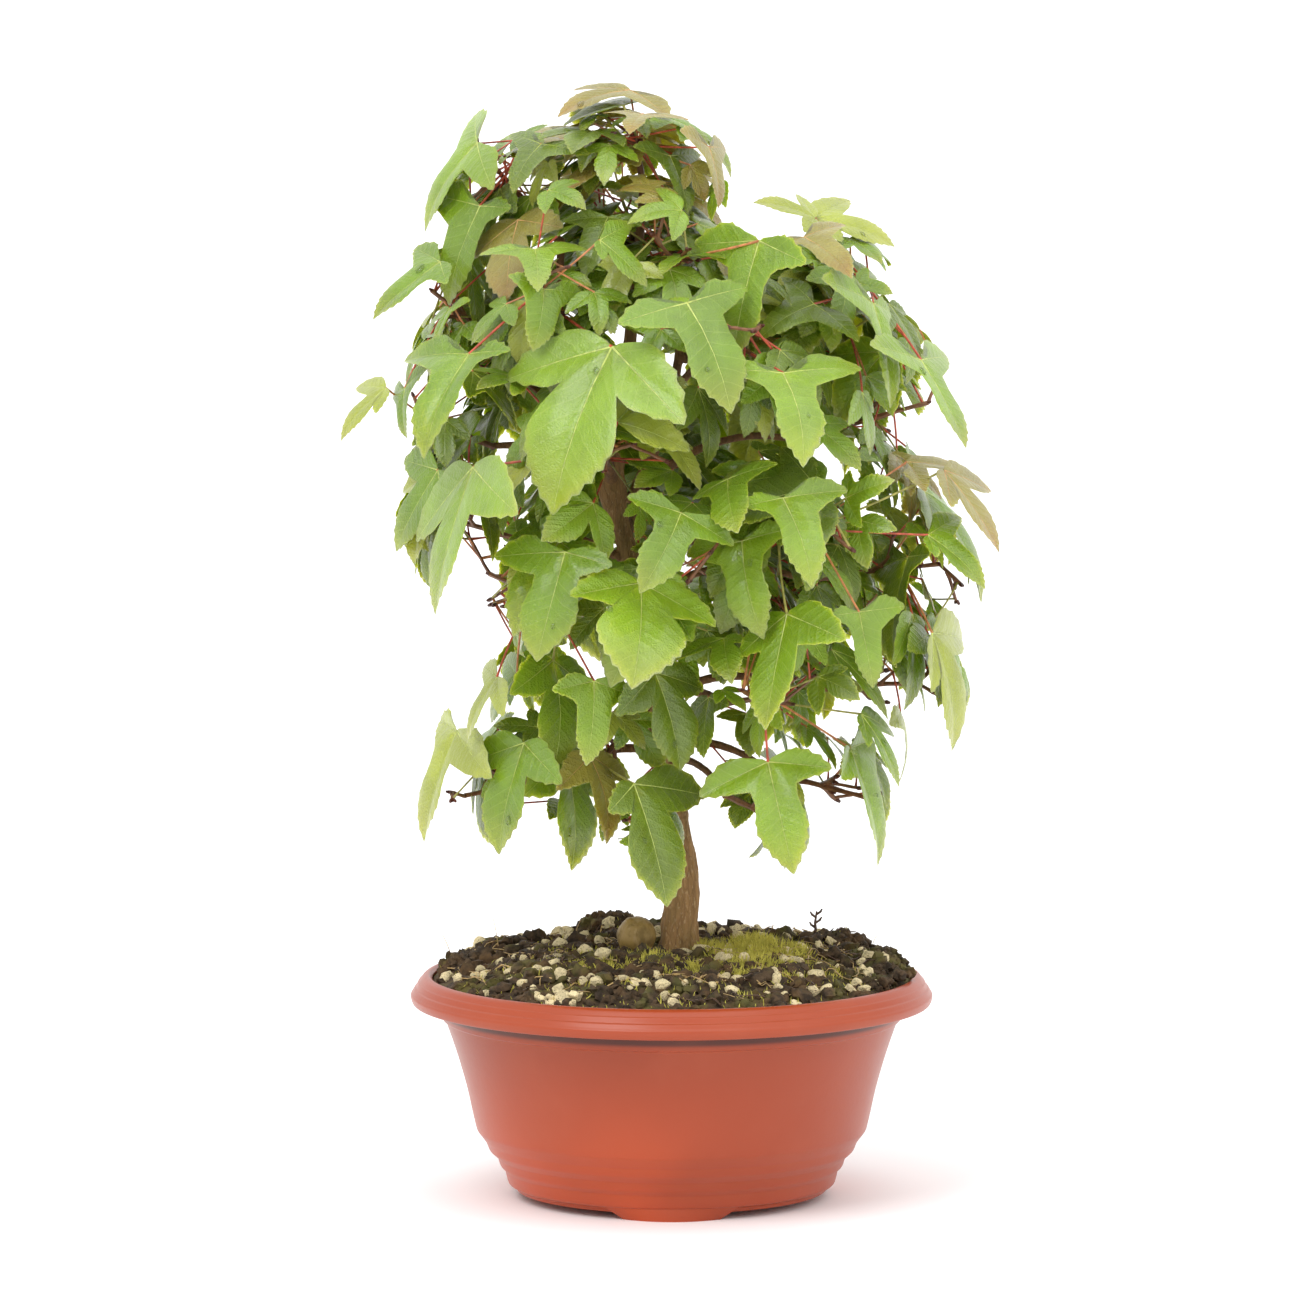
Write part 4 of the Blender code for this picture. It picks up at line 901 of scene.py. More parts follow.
class Crown:
    """The leaves so far, and what a new one keeps clear of."""

    def __init__(self, leaves, blocks, limb_trees, front):
        self.leaves = leaves
        self.blocks = blocks
        self.limb_trees = limb_trees
        self.front = front

    def fill(self, places, nodes, used, rng):
        """Grows a leaf at each place that has room for one."""
        for size, blade, row in places:
            leaf = self.try_leaf(blade, row, size, nodes[row[0]], used[row[0]], rng)
            if leaf:
                self.leaves.append(leaf)
                self.blocks += blocks_of(leaf)

    def try_leaf(self, blade, row, size, nodes, used, rng):
        """The first of a few tries at a place that is clear of everything, or None."""
        space = mass_space(row)
        for trial in range(LEAF_TRIES):
            spot = blade.lerp(space[0], TRY_INWARD * trial) + sway(rng, TRY_SWAY * trial)
            leaf, number = best_leaf(spot, row, size * (1 - TRY_SHRINK * trial), nodes, used, rng)
            if leaf and in_bounds(leaf, space) and self.front.allows(leaf) and not self.clashes(leaf):
                used.setdefault(number, []).append((leaf["joint"] - leaf["root"]).normalized())
                return leaf
        return None

    def clashes(self, leaf):
        """Whether a leaf meets a limb, another mass, or a blade or twig of its own mass."""
        points, faces = leaf_solid(leaf)
        whole, alone = tree_of(points, faces), tree_of(points, blade_faces(faces))
        if any(whole.overlap(tree) for tree in self.limb_trees):
            return True
        for kind, mass, spot, tree in self.blocks:
            if (spot - blade_centre(leaf)).length > BLOCK_REACH:
                continue
            if mass != leaf["mass"]:
                if kind != "blade" and whole.overlap(tree):
                    return True
            elif (whole if kind == "blade" else alone).overlap(tree):
                return True
        return False


class Value:
    """A socket of a finish. Arithmetic on it adds Math nodes."""

    def __init__(self, paint, socket):
        self.paint = paint
        self.socket = socket

    def __add__(self, other):
        return self.paint.math("ADD", self, other)

    def __sub__(self, other):
        return self.paint.math("SUBTRACT", self, other)

    def __mul__(self, other):
        return self.paint.math("MULTIPLY", self, other)

    def __rsub__(self, other):
        return self.paint.math("SUBTRACT", other, self)

    def __lt__(self, other):
        return self.paint.math("LESS_THAN", self, other)

    def __abs__(self):
        return self.paint.math("ABSOLUTE", self)

    __radd__ = __add__
    __rmul__ = __mul__


class Paint:
    """One finish: a Principled shader and the nodes that feed it."""

    def __init__(self, name, **constants):
        self.material = bpy.data.materials.new(name)
        self.material.use_nodes = True
        self.tree = self.material.node_tree
        self.shader = self.tree.nodes["Principled BSDF"]
        for key, value in constants.items():
            self.feed(self.shader.inputs[key.replace("_", " ").title().replace("Ior", "IOR")], value)

    def feed(self, socket, value):
        if isinstance(value, Value):
            self.tree.links.new(value.socket, socket)
        elif isinstance(value, tuple) and len(value) == 3 and len(socket.default_value) == 4:
            socket.default_value = (*value, 1)
        else:
            socket.default_value = value

    def node(self, kind, settings=None, inputs=None, out=0):
        """A node of any kind: its settings first, then its sockets by name or number."""
        made = self.tree.nodes.new(kind)
        for key, value in (settings or {}).items():
            setattr(made, key, value)
        for key, value in (inputs or {}).items():
            self.feed(made.inputs[key], value)
        return Value(self, made.outputs[out])

    def math(self, operation, *values):
        return self.node("ShaderNodeMath", {"operation": operation}, dict(enumerate(values)))

    def mix(self, low, high, share):
        """One colour turning into another."""
        return self.node("ShaderNodeMix", {"data_type": "RGBA"}, {0: share, 6: low, 7: high}, out=2)

    def step(self, value, low, high):
        """0 below one value and 1 above another, smoothly."""
        settings = {"interpolation_type": "SMOOTHSTEP"}
        return self.node("ShaderNodeMapRange", settings, {0: value, 1: low, 2: high})

    def mottle(self, tone, dark, light, pattern, low, high):
        """A colour that a pattern takes from darker to lighter."""
        return self.mix(shade(tone, dark), shade(tone, light), self.step(pattern, low, high))

    def place(self, scale=(1, 1, 1)):
        """Where a point lies on the object, stretched along its axes."""
        where = self.node("ShaderNodeTexCoord", out=3)
        if scale == (1, 1, 1):
            return where
        return self.node("ShaderNodeMapping", {}, {"Vector": where, "Scale": scale})

    def noise(self, scale, detail=3.0, where=None, rough=0.55):
        inputs = {"Vector": where or self.place(), "Scale": scale, "Detail": detail, "Roughness": rough}
        return self.node("ShaderNodeTexNoise", {}, inputs)

    def cells(self, scale, where=None, feature="F1", out=0):
        inputs = {"Vector": where or self.place(), "Scale": scale}
        return self.node("ShaderNodeTexVoronoi", {"feature": feature}, inputs, out)

    def apart(self, vector):
        """The three numbers of a vector."""
        split = self.node("ShaderNodeSeparateXYZ", {}, {0: vector}).socket.node
        return [Value(self, socket) for socket in split.outputs]

    def wear(self, colour=None, roughness=None, height=None, depth=0.0002, strength=1.0):
        """Gives the shader its colour and roughness, and its relief as a height in shares of a depth."""
        if colour is not None:
            self.feed(self.shader.inputs["Base Color"], colour)
        if roughness is not None:
            self.feed(self.shader.inputs["Roughness"], roughness)
        if height is not None:
            inputs = {"Height": height, "Distance": depth, "Strength": strength}
            self.feed(self.shader.inputs["Normal"], self.node("ShaderNodeBump", {}, inputs))
        return self.material


def shade(tone, share):
    """A colour made lighter or darker."""
    return tuple(min(1.0, part * share) for part in tone)


# under this height the wall gets a painted shadow from the lip
UNDER_LIP = 0.0584  # metres over the floor, where the lip's edge is


def plastic_finish(tone, roughness):
    """Moulded terracotta plastic: a satin skin with a fine orange peel, a little chalk and painted light and
    shade.
    """
    paint = Paint("terracotta_plastic", specular_ior_level=0.35, coat_roughness=0.22)
    chalk = paint.step(paint.noise(30, 4), 0.5, 0.8)
    cloud = paint.noise(14, 2)
    height = paint.apart(paint.place())[2]
    # painted light and shade: lighter low down as if lit from the floor, darker up towards the lip as if in
    # its shade
    body = paint.mottle(tone, 1.3, 0.86, height, 0.006, 0.054)
    body = paint.mix(body, shade(tone, 0.93), paint.step(cloud, 0.4, 0.65))
    # painted shadow: a dark band on the wall just under the lip's edge
    body = paint.mix(body, shade(tone, 0.2), paint.step(height, 0.0548, 0.0564) * (height < UNDER_LIP))
    # the painted shade stops at the lip's edge, where the rim goes back to almost its own tone
    body = paint.mix(body, shade(tone, 0.98), paint.step(height, 0.0583, 0.0586))
    body = paint.mix(body, colour(196, 112, 82), chalk * 0.1)
    peel = paint.noise(700, 2)
    paint.feed(paint.shader.inputs["Coat Weight"], 0.2 + 0.1 * cloud)
    return paint.wear(body, roughness + 0.1 * chalk + 0.05 * peel, peel, 0.00006, 0.4)


def soil_finish(tone):
    """Damp peat: almost black, browner where it is dry."""
    paint = Paint("peat", specular_ior_level=0.35)
    lumps = paint.noise(420, 5)
    dry = paint.step(paint.noise(120, 4), 0.45, 0.7)
    body = paint.mix(shade(tone, 0.3), tone, paint.step(lumps, 0.35, 0.65))
    body = paint.mix(body, colour(122, 92, 58), dry * 0.35)
    green = paint.step(paint.noise(75, 3), 0.5, 0.64)
    body = paint.mix(body, colour(104, 104, 44), green * 0.45)
    return paint.wear(body, 0.78 + 0.2 * dry, lumps, 0.0006)


def pumice_finish(name, tone):
    """A light grain with pits and stained hollows."""
    paint = Paint(name, specular_ior_level=0.3)
    pits = paint.cells(1500)
    stain = paint.step(paint.noise(330, 4), 0.4, 0.68)
    body = paint.mix(tone, shade(tone, 0.55), stain * 0.7)
    body = paint.mix(shade(tone, 0.4), body, paint.step(pits, 0.1, 0.42))
    return paint.wear(body, 0.92, pits, 0.00025)


def moss_finish(name, tone):
    paint = Paint(name, specular_ior_level=0.25)
    patch = paint.noise(260, 3)
    return paint.wear(paint.mix(shade(tone, 0.7), tone, paint.step(patch, 0.35, 0.62)), 0.8)


def nut_finish(tone):
    """A dull round shell, streaked from its scar to its point."""
    paint = Paint("nut_shell", specular_ior_level=0.4)
    grain = paint.noise(700, 4, paint.place((1, 1, 0.25)))
    blotch = paint.step(paint.noise(240, 3), 0.42, 0.66)
    body = paint.mix(tone, shade(tone, 0.5), blotch * 0.8)
    body = paint.mix(body, colour(178, 150, 104), paint.step(grain, 0.55, 0.7) * 0.5)
    return paint.wear(body, 0.5 + 0.3 * blotch, grain, 0.0003)


def bark_finish(old, young):
    """Smooth grey-brown bark with pale flecks and fine cracks up the stem, redder on young wood."""
    paint = Paint("bark", specular_ior_level=0.3)
    age = paint.node("ShaderNodeAttribute", {"attribute_name": AGE}, out=2)
    streaks = paint.noise(620, 5, paint.place((1, 1, 0.16)), 0.65)
    flecks = paint.step(paint.noise(1500, 3, paint.place((1, 1, 0.4))), 0.56, 0.68)
    patches = paint.step(paint.noise(150, 3, paint.place((1, 1, 0.5))), 0.42, 0.66)
    cracks = paint.step(paint.cells(700, paint.place((1, 1, 0.2)), "DISTANCE_TO_EDGE"), 0.0, 0.09)
    aged = paint.mottle(old, 0.8, 1.12, streaks, 0.32, 0.66)
    aged = paint.mix(aged, colour(204, 172, 128), flecks * 0.6)
    aged = paint.mix(aged, colour(120, 108, 62), patches * 0.3)
    fresh = paint.mottle(young, 0.7, 1.3, streaks, 0.3, 0.7)
    body = paint.mix(fresh, aged, age)
    body = paint.mix(shade(old, 0.5), body, 1 - (1 - cracks) * age * 0.35)
    height = streaks * 0.6 + cracks * 0.4 + flecks * 0.3
    return paint.wear(body, 0.6 + 0.25 * age, height, 0.00035)


def wood_finish(name, tone):
    """A leaf's stalk, a bud or a young twig."""
    paint = Paint(name, specular_ior_level=0.5)
    streaks = paint.noise(520, 3)
    body = paint.mottle(tone, 0.72, 1.2, streaks, 0.35, 0.65)
    return paint.wear(body, 0.42, streaks, 0.00008)


LETS_LIGHT_THROUGH = {
    "subsurface_weight": 0.7, "subsurface_radius": (1, 1, 0.3), "subsurface_scale": 0.001,
}


def leaf_finish(name, tone, gloss, edge):
    """A blade's upper face: side veins that leave its ribs, a fine net between them, and a broken sheen."""
    paint = Paint(name, specular_ior_level=0.5, coat_weight=0.35, coat_roughness=0.14, **LETS_LIGHT_THROUGH)
    across, along, _ = paint.apart(paint.node("ShaderNodeUVMap", {"uv_map": LEAF_MAP}))
    across = abs(across)
    cos, sin = math.cos(SIDE_RIB), math.sin(SIDE_RIB)
    off_side = abs(across * cos - along * sin)
    by_side = off_side < across
    off = by_side * off_side + (1 - by_side) * across
    reach = by_side * (across * sin + along * cos) + (1 - by_side) * along
    drift = paint.noise(90, 2) * 0.09
    wave = paint.math("PINGPONG", (reach - off * VEIN_LEAN + drift) * VEIN_COUNT, 0.5)
    vein = 1 - paint.step(wave, 0.0, 0.07)
    net = paint.cells(950, feature="DISTANCE_TO_EDGE")
    mottle = paint.noise(70, 3)
    rim = paint.step(paint.math("SQRT", across * across + along * along), 0.5, 1.05)
    body = paint.mottle(tone, 0.88, 1.1, mottle, 0.35, 0.65)
    body = paint.mix(body, edge, rim * 0.35)
    body = paint.mix(body, PALE_VEIN, vein * 0.14)
    dimple = paint.noise(240, 3)
    height = paint.step(wave, 0.0, 0.3) * 0.3 + paint.step(net, 0.0, 0.3) * 0.25 + dimple * 0.9
    return paint.wear(body, gloss + 0.2 * dimple, height, 0.0005, 0.6)


def underside_finish(name, tone):
    """A blade's lower face, paler and duller, with its net standing out."""
    paint = Paint(name, specular_ior_level=0.35, **LETS_LIGHT_THROUGH)
    net = paint.cells(900, feature="DISTANCE_TO_EDGE")
    mottle = paint.noise(180, 3)
    pale = tuple(0.62 * part + 0.38 * other for part, other in zip(tone, UNDERSIDE))
    body = paint.mottle(pale, 0.85, 1.12, mottle, 0.35, 0.65)
    body = paint.mix(shade(pale, 1.2), body, paint.step(net, 0.0, 0.12))
    return paint.wear(body, 0.62, net, 0.00012)


def dry_finish(tone):
    """The scorched tip or tooth of a blade."""
    paint = Paint("leaf_scorched", specular_ior_level=0.3)
    blotch = paint.step(paint.noise(600, 4), 0.38, 0.64)
    return paint.wear(paint.mix(shade(tone, 0.5), tone, blotch), 0.7, blotch, 0.0002)


def water_finish():
    paint = Paint("water", roughness=0.02, ior=1.333, transmission_weight=1.0)
    ripple = paint.noise(300, 1)
    return paint.wear(colour(250, 253, 250), None, ripple, 0.00002, 0.3)


def stage_finish(tone):
    paint = Paint("pale_floor", roughness=0.9, specular_ior_level=0.1)
    return paint.wear(tone)


def link(name, data):
    """A new object in the scene."""
    made = bpy.data.objects.new(name, data)
    bpy.context.scene.collection.objects.link(made)
    return made


def deselect():
    if bpy.context.mode != "OBJECT":
        bpy.ops.object.mode_set(mode="OBJECT")
    bpy.ops.object.select_all(action="DESELECT")


def pick(piece):
    """Makes a piece the only one selected."""
    deselect()
    piece.select_set(True)
    bpy.context.view_layer.objects.active = piece
    return piece


def begin(name):
    """Names the primitive just added, and opens it in edit mode, all selected."""
    piece = bpy.context.object
    piece.name = name
    piece.data.name = name
    bpy.ops.object.transform_apply(location=True, rotation=True, scale=True)
    bpy.ops.object.mode_set(mode="EDIT")
    bpy.ops.mesh.select_all(action="SELECT")
    return piece


def select_vertices(piece, wanted):
    """In edit mode, selects the vertices whose place passes a test."""
    bpy.ops.mesh.select_all(action="DESELECT")
    bpy.ops.object.mode_set(mode="OBJECT")
    for vertex in piece.data.vertices:
        vertex.select = wanted(vertex.co / MM)
    bpy.ops.object.mode_set(mode="EDIT")


def add_modifier(piece, kind, **settings):
    """Adds a modifier and applies it."""
    pick(piece)
    modifier = piece.modifiers.new(kind.lower(), kind)
    for key, value in settings.items():
        setattr(modifier, key, value)
    bpy.ops.object.modifier_apply(modifier=modifier.name)


def hand_over(piece, slot, *nodes, finishes=(), smooth=SMOOTH_BELOW):
    """Finishes a piece: its shading and finish, the body it rides on and the nodes it stands for."""
    pick(piece)
    if smooth:
        bpy.ops.object.shade_smooth_by_angle(angle=smooth)
    if finishes:
        piece.data.materials.clear()
        for finish in finishes:
            piece.data.materials.append(finish)
    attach(piece, BODY)
    if nodes:
        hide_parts(*nodes)
    return piece


def joined(name, shapes, maps=None):
    """One mesh of many closed shapes, each (points in millimetres, faces, finish numbers)."""
    counts = np.cumsum([0] + [len(points) for points, _, _ in shapes])
    points = np.concatenate([np.asarray(points, float) for points, _, _ in shapes]) * MM
    faces = [tuple(int(base) + i for i in face) for base, (_, own, _) in zip(counts, shapes) for face in own]
    mesh = bpy.data.meshes.new(name)
    mesh.from_pydata(points, [], faces)
    mesh.polygons.foreach_set("material_index", np.concatenate([numbers for _, _, numbers in shapes]))
    if maps is not None:
        flat = np.concatenate(maps)
        loops = np.empty(len(mesh.loops), int)
        mesh.loops.foreach_get("vertex_index", loops)
        mesh.uv_layers.new(name=LEAF_MAP).uv.foreach_set("vector", flat[loops].ravel())
    mesh.update()
    return link(name, mesh)


def read_shape(piece):
    """The points, in millimetres, and faces of a modelled piece, which is then removed."""
    deselect()
    points = np.empty(len(piece.data.vertices) * 3)
    piece.data.vertices.foreach_get("co", points)
    faces = [tuple(face.vertices) for face in piece.data.polygons]
    bpy.data.objects.remove(piece, do_unlink=True)
    return points.reshape(-1, 3) / MM, faces


def sweep(name, courses, sides):
    """Round limbs along courses of (point, radius) stations, made as a curve and turned into a mesh."""
    line = bpy.data.curves.new(name, "CURVE")
    line.dimensions = "3D"
    line.bevel_depth = MM
    line.bevel_resolution = sides // 2 - 2
    line.use_fill_caps = True
    for course in courses:
        path = line.splines.new("POLY")
        path.points.add(len(course) - 1)
        for spot, (place, radius) in zip(path.points, course):
            spot.co = (*(Vector(place) * MM), 1)
            spot.radius = radius
    pick(link(name, line))
    bpy.ops.object.convert(target="MESH")
    return bpy.context.object


def spline(a, b, c, d, t):
    """A point on the smooth curve from b to c that comes from a and goes on to d."""
    return 0.5 * (2 * b + (c - a) * t + (2 * a - 5 * b + 4 * c - d) * t**2 + (3 * b - a - 3 * c + d) * t**3)


def smooth_course(course, steps):
    """A course with a smooth curve through its stations."""
    rows = np.array([(*place, radius) for place, radius in course])
    rows = np.vstack([2 * rows[0] - rows[1], rows, 2 * rows[-1] - rows[-2]])
    fours = zip(rows, rows[1:], rows[2:], rows[3:])
    fine = [spline(*four, i / steps) for four in fours for i in range(steps)]
    fine.append(rows[-2])
    return [(Vector(row[:3]), float(row[3])) for row in fine]


def rounded(profile):
    """A profile of (radius, height, rounding) with an arc in place of each corner."""
    fine = []
    for i, (r, z, rounding) in enumerate(profile):
        here = Vector((r, z))
        if i in (0, len(profile) - 1):
            fine.append(here)
            continue
        before = Vector(profile[i - 1][:2]) - here
        after = Vector(profile[i + 1][:2]) - here
        reach = min(rounding, before.length * CORNER_SHARE, after.length * CORNER_SHARE)
        start = here + before.normalized() * reach
        end = here + after.normalized() * reach
        fine += [arc(start, here, end, step / ARC_STEPS) for step in range(ARC_STEPS + 1)]
    return fine


def turned(name, profile, steps):
    """A turned solid: a disc whose rim is extruded along a profile of (radius, height) and closed."""
    deselect()
    radius, height = profile[0]
    bpy.ops.mesh.primitive_circle_add(
        vertices=steps, radius=radius * MM, fill_type="TRIFAN", location=(0, 0, height * MM))
    piece = begin(name)
    bpy.ops.mesh.select_all(action="DESELECT")
    bpy.ops.mesh.select_non_manifold()
    for r, z in profile[1:]:
        bpy.ops.mesh.extrude_edges_move(TRANSFORM_OT_translate={"value": (0, 0, (z - height) * MM)})
        bpy.ops.transform.resize(value=(r / radius, r / radius, 1), center_override=(0, 0, 0))
        radius, height = r, z
    bpy.ops.mesh.extrude_edges_move(TRANSFORM_OT_translate={"value": (0, 0, 0)})
    bpy.ops.mesh.merge(type="CENTER")
    bpy.ops.mesh.select_all(action="SELECT")
    bpy.ops.mesh.remove_doubles(threshold=MERGE)
    bpy.ops.mesh.normals_make_consistent(inside=False)
    bpy.ops.object.mode_set(mode="OBJECT")
    return piece


def add_foot(number):
    """A lug under the base: a plate spun round the bowl's axis, narrowed downwards and rounded."""
    deselect()
    middle = (FOOT_INNER + FOOT_OUTER) / 2
    start = math.radians(-90) - FOOT_ANGLE / 2
    centre = (middle * MM, 0, FOOT_TOP / 2 * MM)
    bpy.ops.mesh.primitive_plane_add(size=1, rotation=(math.pi / 2, 0, 0), location=centre)
    bpy.context.object.scale = ((FOOT_OUTER - FOOT_INNER) * MM, FOOT_TOP * MM, 1)
    foot = begin(f"foot_{number}")
    bpy.ops.object.mode_set(mode="OBJECT")
    foot.data.transform(Matrix.Rotation(start, 4, "Z"))
    bpy.ops.object.mode_set(mode="EDIT")
    bpy.ops.mesh.spin(steps=FOOT_STEPS, angle=FOOT_ANGLE, center=(0, 0, 0), axis=(0, 0, -1), dupli=False)
    bpy.ops.mesh.select_all(action="SELECT")
    bpy.ops.mesh.remove_doubles(threshold=MERGE)
    bpy.ops.mesh.normals_make_consistent(inside=False)
    select_vertices(foot, lambda p: p.z < FOOT_TOP / 2)
    bpy.ops.transform.resize(value=(FOOT_NARROW, 1, 1), center_override=(0, 0, 0))
    bpy.ops.object.mode_set(mode="OBJECT")
    foot.data.transform(Matrix.Rotation(math.tau * number / FEET, 4, "Z"))
    return foot


def make_bowl(settings):
    """The bowl with its rolled rim, stepped lower wall and three feet, as one moulding."""
    outside = [(p.x, p.y) for p in rounded(BOWL_OUTSIDE)]
    inside = [(p.x, p.y) for p in rounded(BOWL_INSIDE)]
    bowl = turned("bowl", outside + inside, BOWL_STEPS)
    feet = [add_foot(number) for number in range(FEET)]
    for foot in feet:
        add_modifier(bowl, "BOOLEAN", operation="UNION", solver="EXACT", object=foot)
        bpy.data.objects.remove(foot, do_unlink=True)
    finish = plastic_finish(tuple(settings.plastic), settings.plastic_roughness)
    return hand_over(bowl, "terracotta_plastic", "pot", finishes=[finish])


def soil_height(radius):
    """The mound: flat in the middle, falling to the rim."""
    fall = max(0, (radius - SOIL_FLAT) / (MOUTH_RADIUS - SOIL_FLAT))
    return SOIL_MIDDLE - (SOIL_MIDDLE - SOIL_EDGE) * fall**SOIL_FALL


def soil_rough(x, y):
    """How far the soil's surface stands off the smooth mound, with its heaps."""
    broad, fine = SOIL_ROUGH
    at = Vector((x, y, 0))
    height = broad * noise.noise(at * 0.09) + fine * noise.noise(at * 0.6)
    height += sum(tall * math.exp(-((x - hx) ** 2 + (y - hy) ** 2) / wide**2) for hx, hy, wide, tall in HEAPS)
    return height * clamp((MOUTH_RADIUS - math.hypot(x, y)) / CALM_EDGE, 0, 1)


def ground(x, y):
    """The height of the soil's surface."""
    return soil_height(math.hypot(x, y)) + soil_rough(x, y)


def lumpy(rough, sharp, flats, rng):
    """A clod or grain of radius 1: a ball pushed in and out by noise, then cut by a few flat faces."""
    deselect()
    bpy.ops.mesh.primitive_ico_sphere_add(subdivisions=2, radius=MM)
    ball = bpy.context.object
    shift = Vector([rng.uniform(-50, 50) for _ in range(3)])
    stretch = Vector((1, rng.uniform(0.7, 0.95), rng.uniform(0.55, 0.85)))
    planes = [(Vector([rng.gauss(0, 1) for _ in range(3)]).normalized(), rng.uniform(0.55, 0.8))
              for _ in range(flats)]
    for vertex in ball.data.vertices:
        spot = vertex.co / MM
        spot = spot * (1 + rough * noise.noise(spot * sharp + shift))
        for normal, far in planes:
            over = spot.dot(normal) - far
            if over > 0:
                spot = spot - normal * over
        vertex.co = spot * stretch * MM
    return read_shape(ball)


def turned_at_random(rng):
    first, second, third = [Matrix.Rotation(rng.uniform(0, math.tau), 3, axis) for axis in "ZXZ"]
    return first @ second @ third


def put(shape, place, size, turn, finish=0):
    """A copy of a shape, turned, sized and placed."""
    points, faces = shape
    matrix = np.array(turn) * size
    return points @ matrix.T + np.array(place), faces, np.full(len(faces), finish)


def soil_places(count, clear, rng, inner=0.0, outer=MOUTH_RADIUS - 1.2):
    """Places on the soil, evenly by area, clear of the trunk and the nut, with their distance out."""
    spots = []
    while len(spots) < count:
        far = math.sqrt(rng.uniform(inner**2, outer**2))
        turn = rng.uniform(0, math.tau)
        x, y = far * math.cos(turn), far * math.sin(turn)
        if math.hypot(x - TRUNK[0][1], y) < TRUNK[0][3] / 2 + clear:
            continue
        if math.hypot(x - NUT_PLACE[0], y - NUT_PLACE[1]) < NUT_RADIUS + clear:
            continue
        spots.append((x, y, far))
    return spots


def make_soil(settings):
    """The mound itself, filling the bowl a gap clear of its wall."""
    edge = MOUTH_RADIUS - GAP
    rings = int(edge / SOIL_RING)
    radii = [edge * (1 - i / rings) for i in range(rings)]
    surface = [(radius, soil_height(radius)) for radius in radii]
    soil = turned("soil_mound", [*SOIL_SIDE, *surface], SOIL_STEPS)
    for vertex in soil.data.vertices:
        x, y, z = vertex.co / MM
        if z > SOIL_EDGE - 1:
            vertex.co.z += soil_rough(x, y) * MM
    finish = soil_finish(tuple(settings.peat))
    return hand_over(soil, "soil", "soil", finishes=[finish], smooth=math.radians(60))


def make_clods(settings):
    """Dark lumps of peat and bark lying on the mound."""
    rng = random.Random(CLOD_SEED)
    shapes = [lumpy(0.7, 1.6, 1, rng) for _ in range(7)]
    lumps = []
    for x, y, far in soil_places(settings.clods, 1.5, rng):
        size = rng.triangular(*CLOD_SIZE)
        if size + far > LITTER_EDGE:
            size = LITTER_EDGE - far
        z = ground(x, y) + size * rng.uniform(-0.2, 0.35)
        lumps.append(put(rng.choice(shapes), (x, y, z), size, turned_at_random(rng)))
    for x, y, z, reach, count in CLUMPS:
        for _ in range(count):
            way = rng.uniform(0, math.tau)
            out = math.sqrt(rng.random())
            spot = Vector((x + out * reach * math.cos(way), y + out * reach * math.sin(way), 0))
            size = rng.uniform(*CLUMP_SIZE)
            low = ground(spot.x, spot.y) if spot.length + size < LITTER_EDGE else RIM_TOP + size
            spot.z = low + max(0, z - low) * (1 - out**2) * rng.random()
            lumps.append(put(rng.choice(shapes), spot, size, turned_at_random(rng)))
    clods = joined("clods", lumps)
    return hand_over(clods, "soil", finishes=[soil_finish(tuple(settings.peat))], smooth=math.radians(50))


def make_grains(settings):
    """Cream and tan pumice grains scattered over the mound."""
    rng = random.Random(GRAIN_SEED)
    shapes = [lumpy(0.35, 1.3, 6, rng) for _ in range(7)]
    finishes = [pumice_finish("pumice_cream", tuple(settings.grain)), pumice_finish("pumice_tan", TAN_GRAIN)]
    lumps = []
    for x, y, far in soil_places(settings.grains, 2.2, rng):
        size = rng.triangular(*GRAIN_SIZE)
        if size + far > LITTER_EDGE:
            continue
        z = ground(x, y) + size * rng.uniform(0.1, 0.6)
        finish = 0 if rng.random() < CREAM_SHARE else 1
        lumps.append(put(rng.choice(shapes), (x, y, z), size, turned_at_random(rng), finish))
    grains = joined("pumice_grains", lumps)
    return hand_over(grains, "soil", finishes=finishes, smooth=math.radians(25))


def spike(root, tip, wide, bend):
    """A thin three-sided blade with a bend in it."""
    root, tip = Vector(root), Vector(tip)
    side, lift = frame_along((tip - root).normalized())
    points = []
    for share, size in ((0.0, 1.0), (0.55, 0.75)):
        spot = root.lerp(tip, share) + bend * share * (1 - share) * 4
        points += [spot + around(side, lift, turn) * wide * size for turn in (0, 2.1, 4.2)]
    points.append(tip)
    faces = [(0, 2, 1), (0, 1, 4, 3), (1, 2, 5, 4), (2, 0, 3, 5), (3, 4, 6), (4, 5, 6), (5, 3, 6)]
    return [tuple(p) for p in points], faces, np.zeros(len(faces), int)


def make_moss(settings):
    """Moss: tufts of shoots on the front of the mound, and a thin scatter of them elsewhere."""
    rng = random.Random(MOSS_SEED)
    shoots = []
    tufts = [*MOSS_TUFTS, None]
    shares = [tuft[5] for tuft in MOSS_TUFTS]
    for tuft in rng.choices(tufts, [*shares, 1 - sum(shares)], k=settings.moss):
        if tuft:
            reach, turn = math.sqrt(rng.random()), rng.uniform(0, math.tau)
            x, y = tuft[0] + tuft[2] * reach * math.cos(turn), tuft[1] + tuft[3] * reach * math.sin(turn)
            height = tuft[4] * rng.uniform(0.4, 1) * (1.1 - reach * 0.6)
        else:
            (x, y, _), = soil_places(1, 0.3, rng, outer=MOUTH_RADIUS - 3)
            height = rng.uniform(1.0, 3.2)
        if math.hypot(x - TRUNK[0][1], y) < TRUNK[0][3] / 2 - 0.6:
            continue
        low = ground(x, y) - 0.3
        lean = Vector((rng.gauss(0, 0.5), rng.gauss(0, 0.5), 1)).normalized()
        root = Vector((x, y, low))
        shoots.append(spike(root, root + lean * height, rng.uniform(0.13, 0.24), sway(rng, 0.3)))
    moss = joined("moss", shoots)
    return hand_over(moss, "soil", finishes=[moss_finish("moss", tuple(settings.moss_colour))], smooth=0)


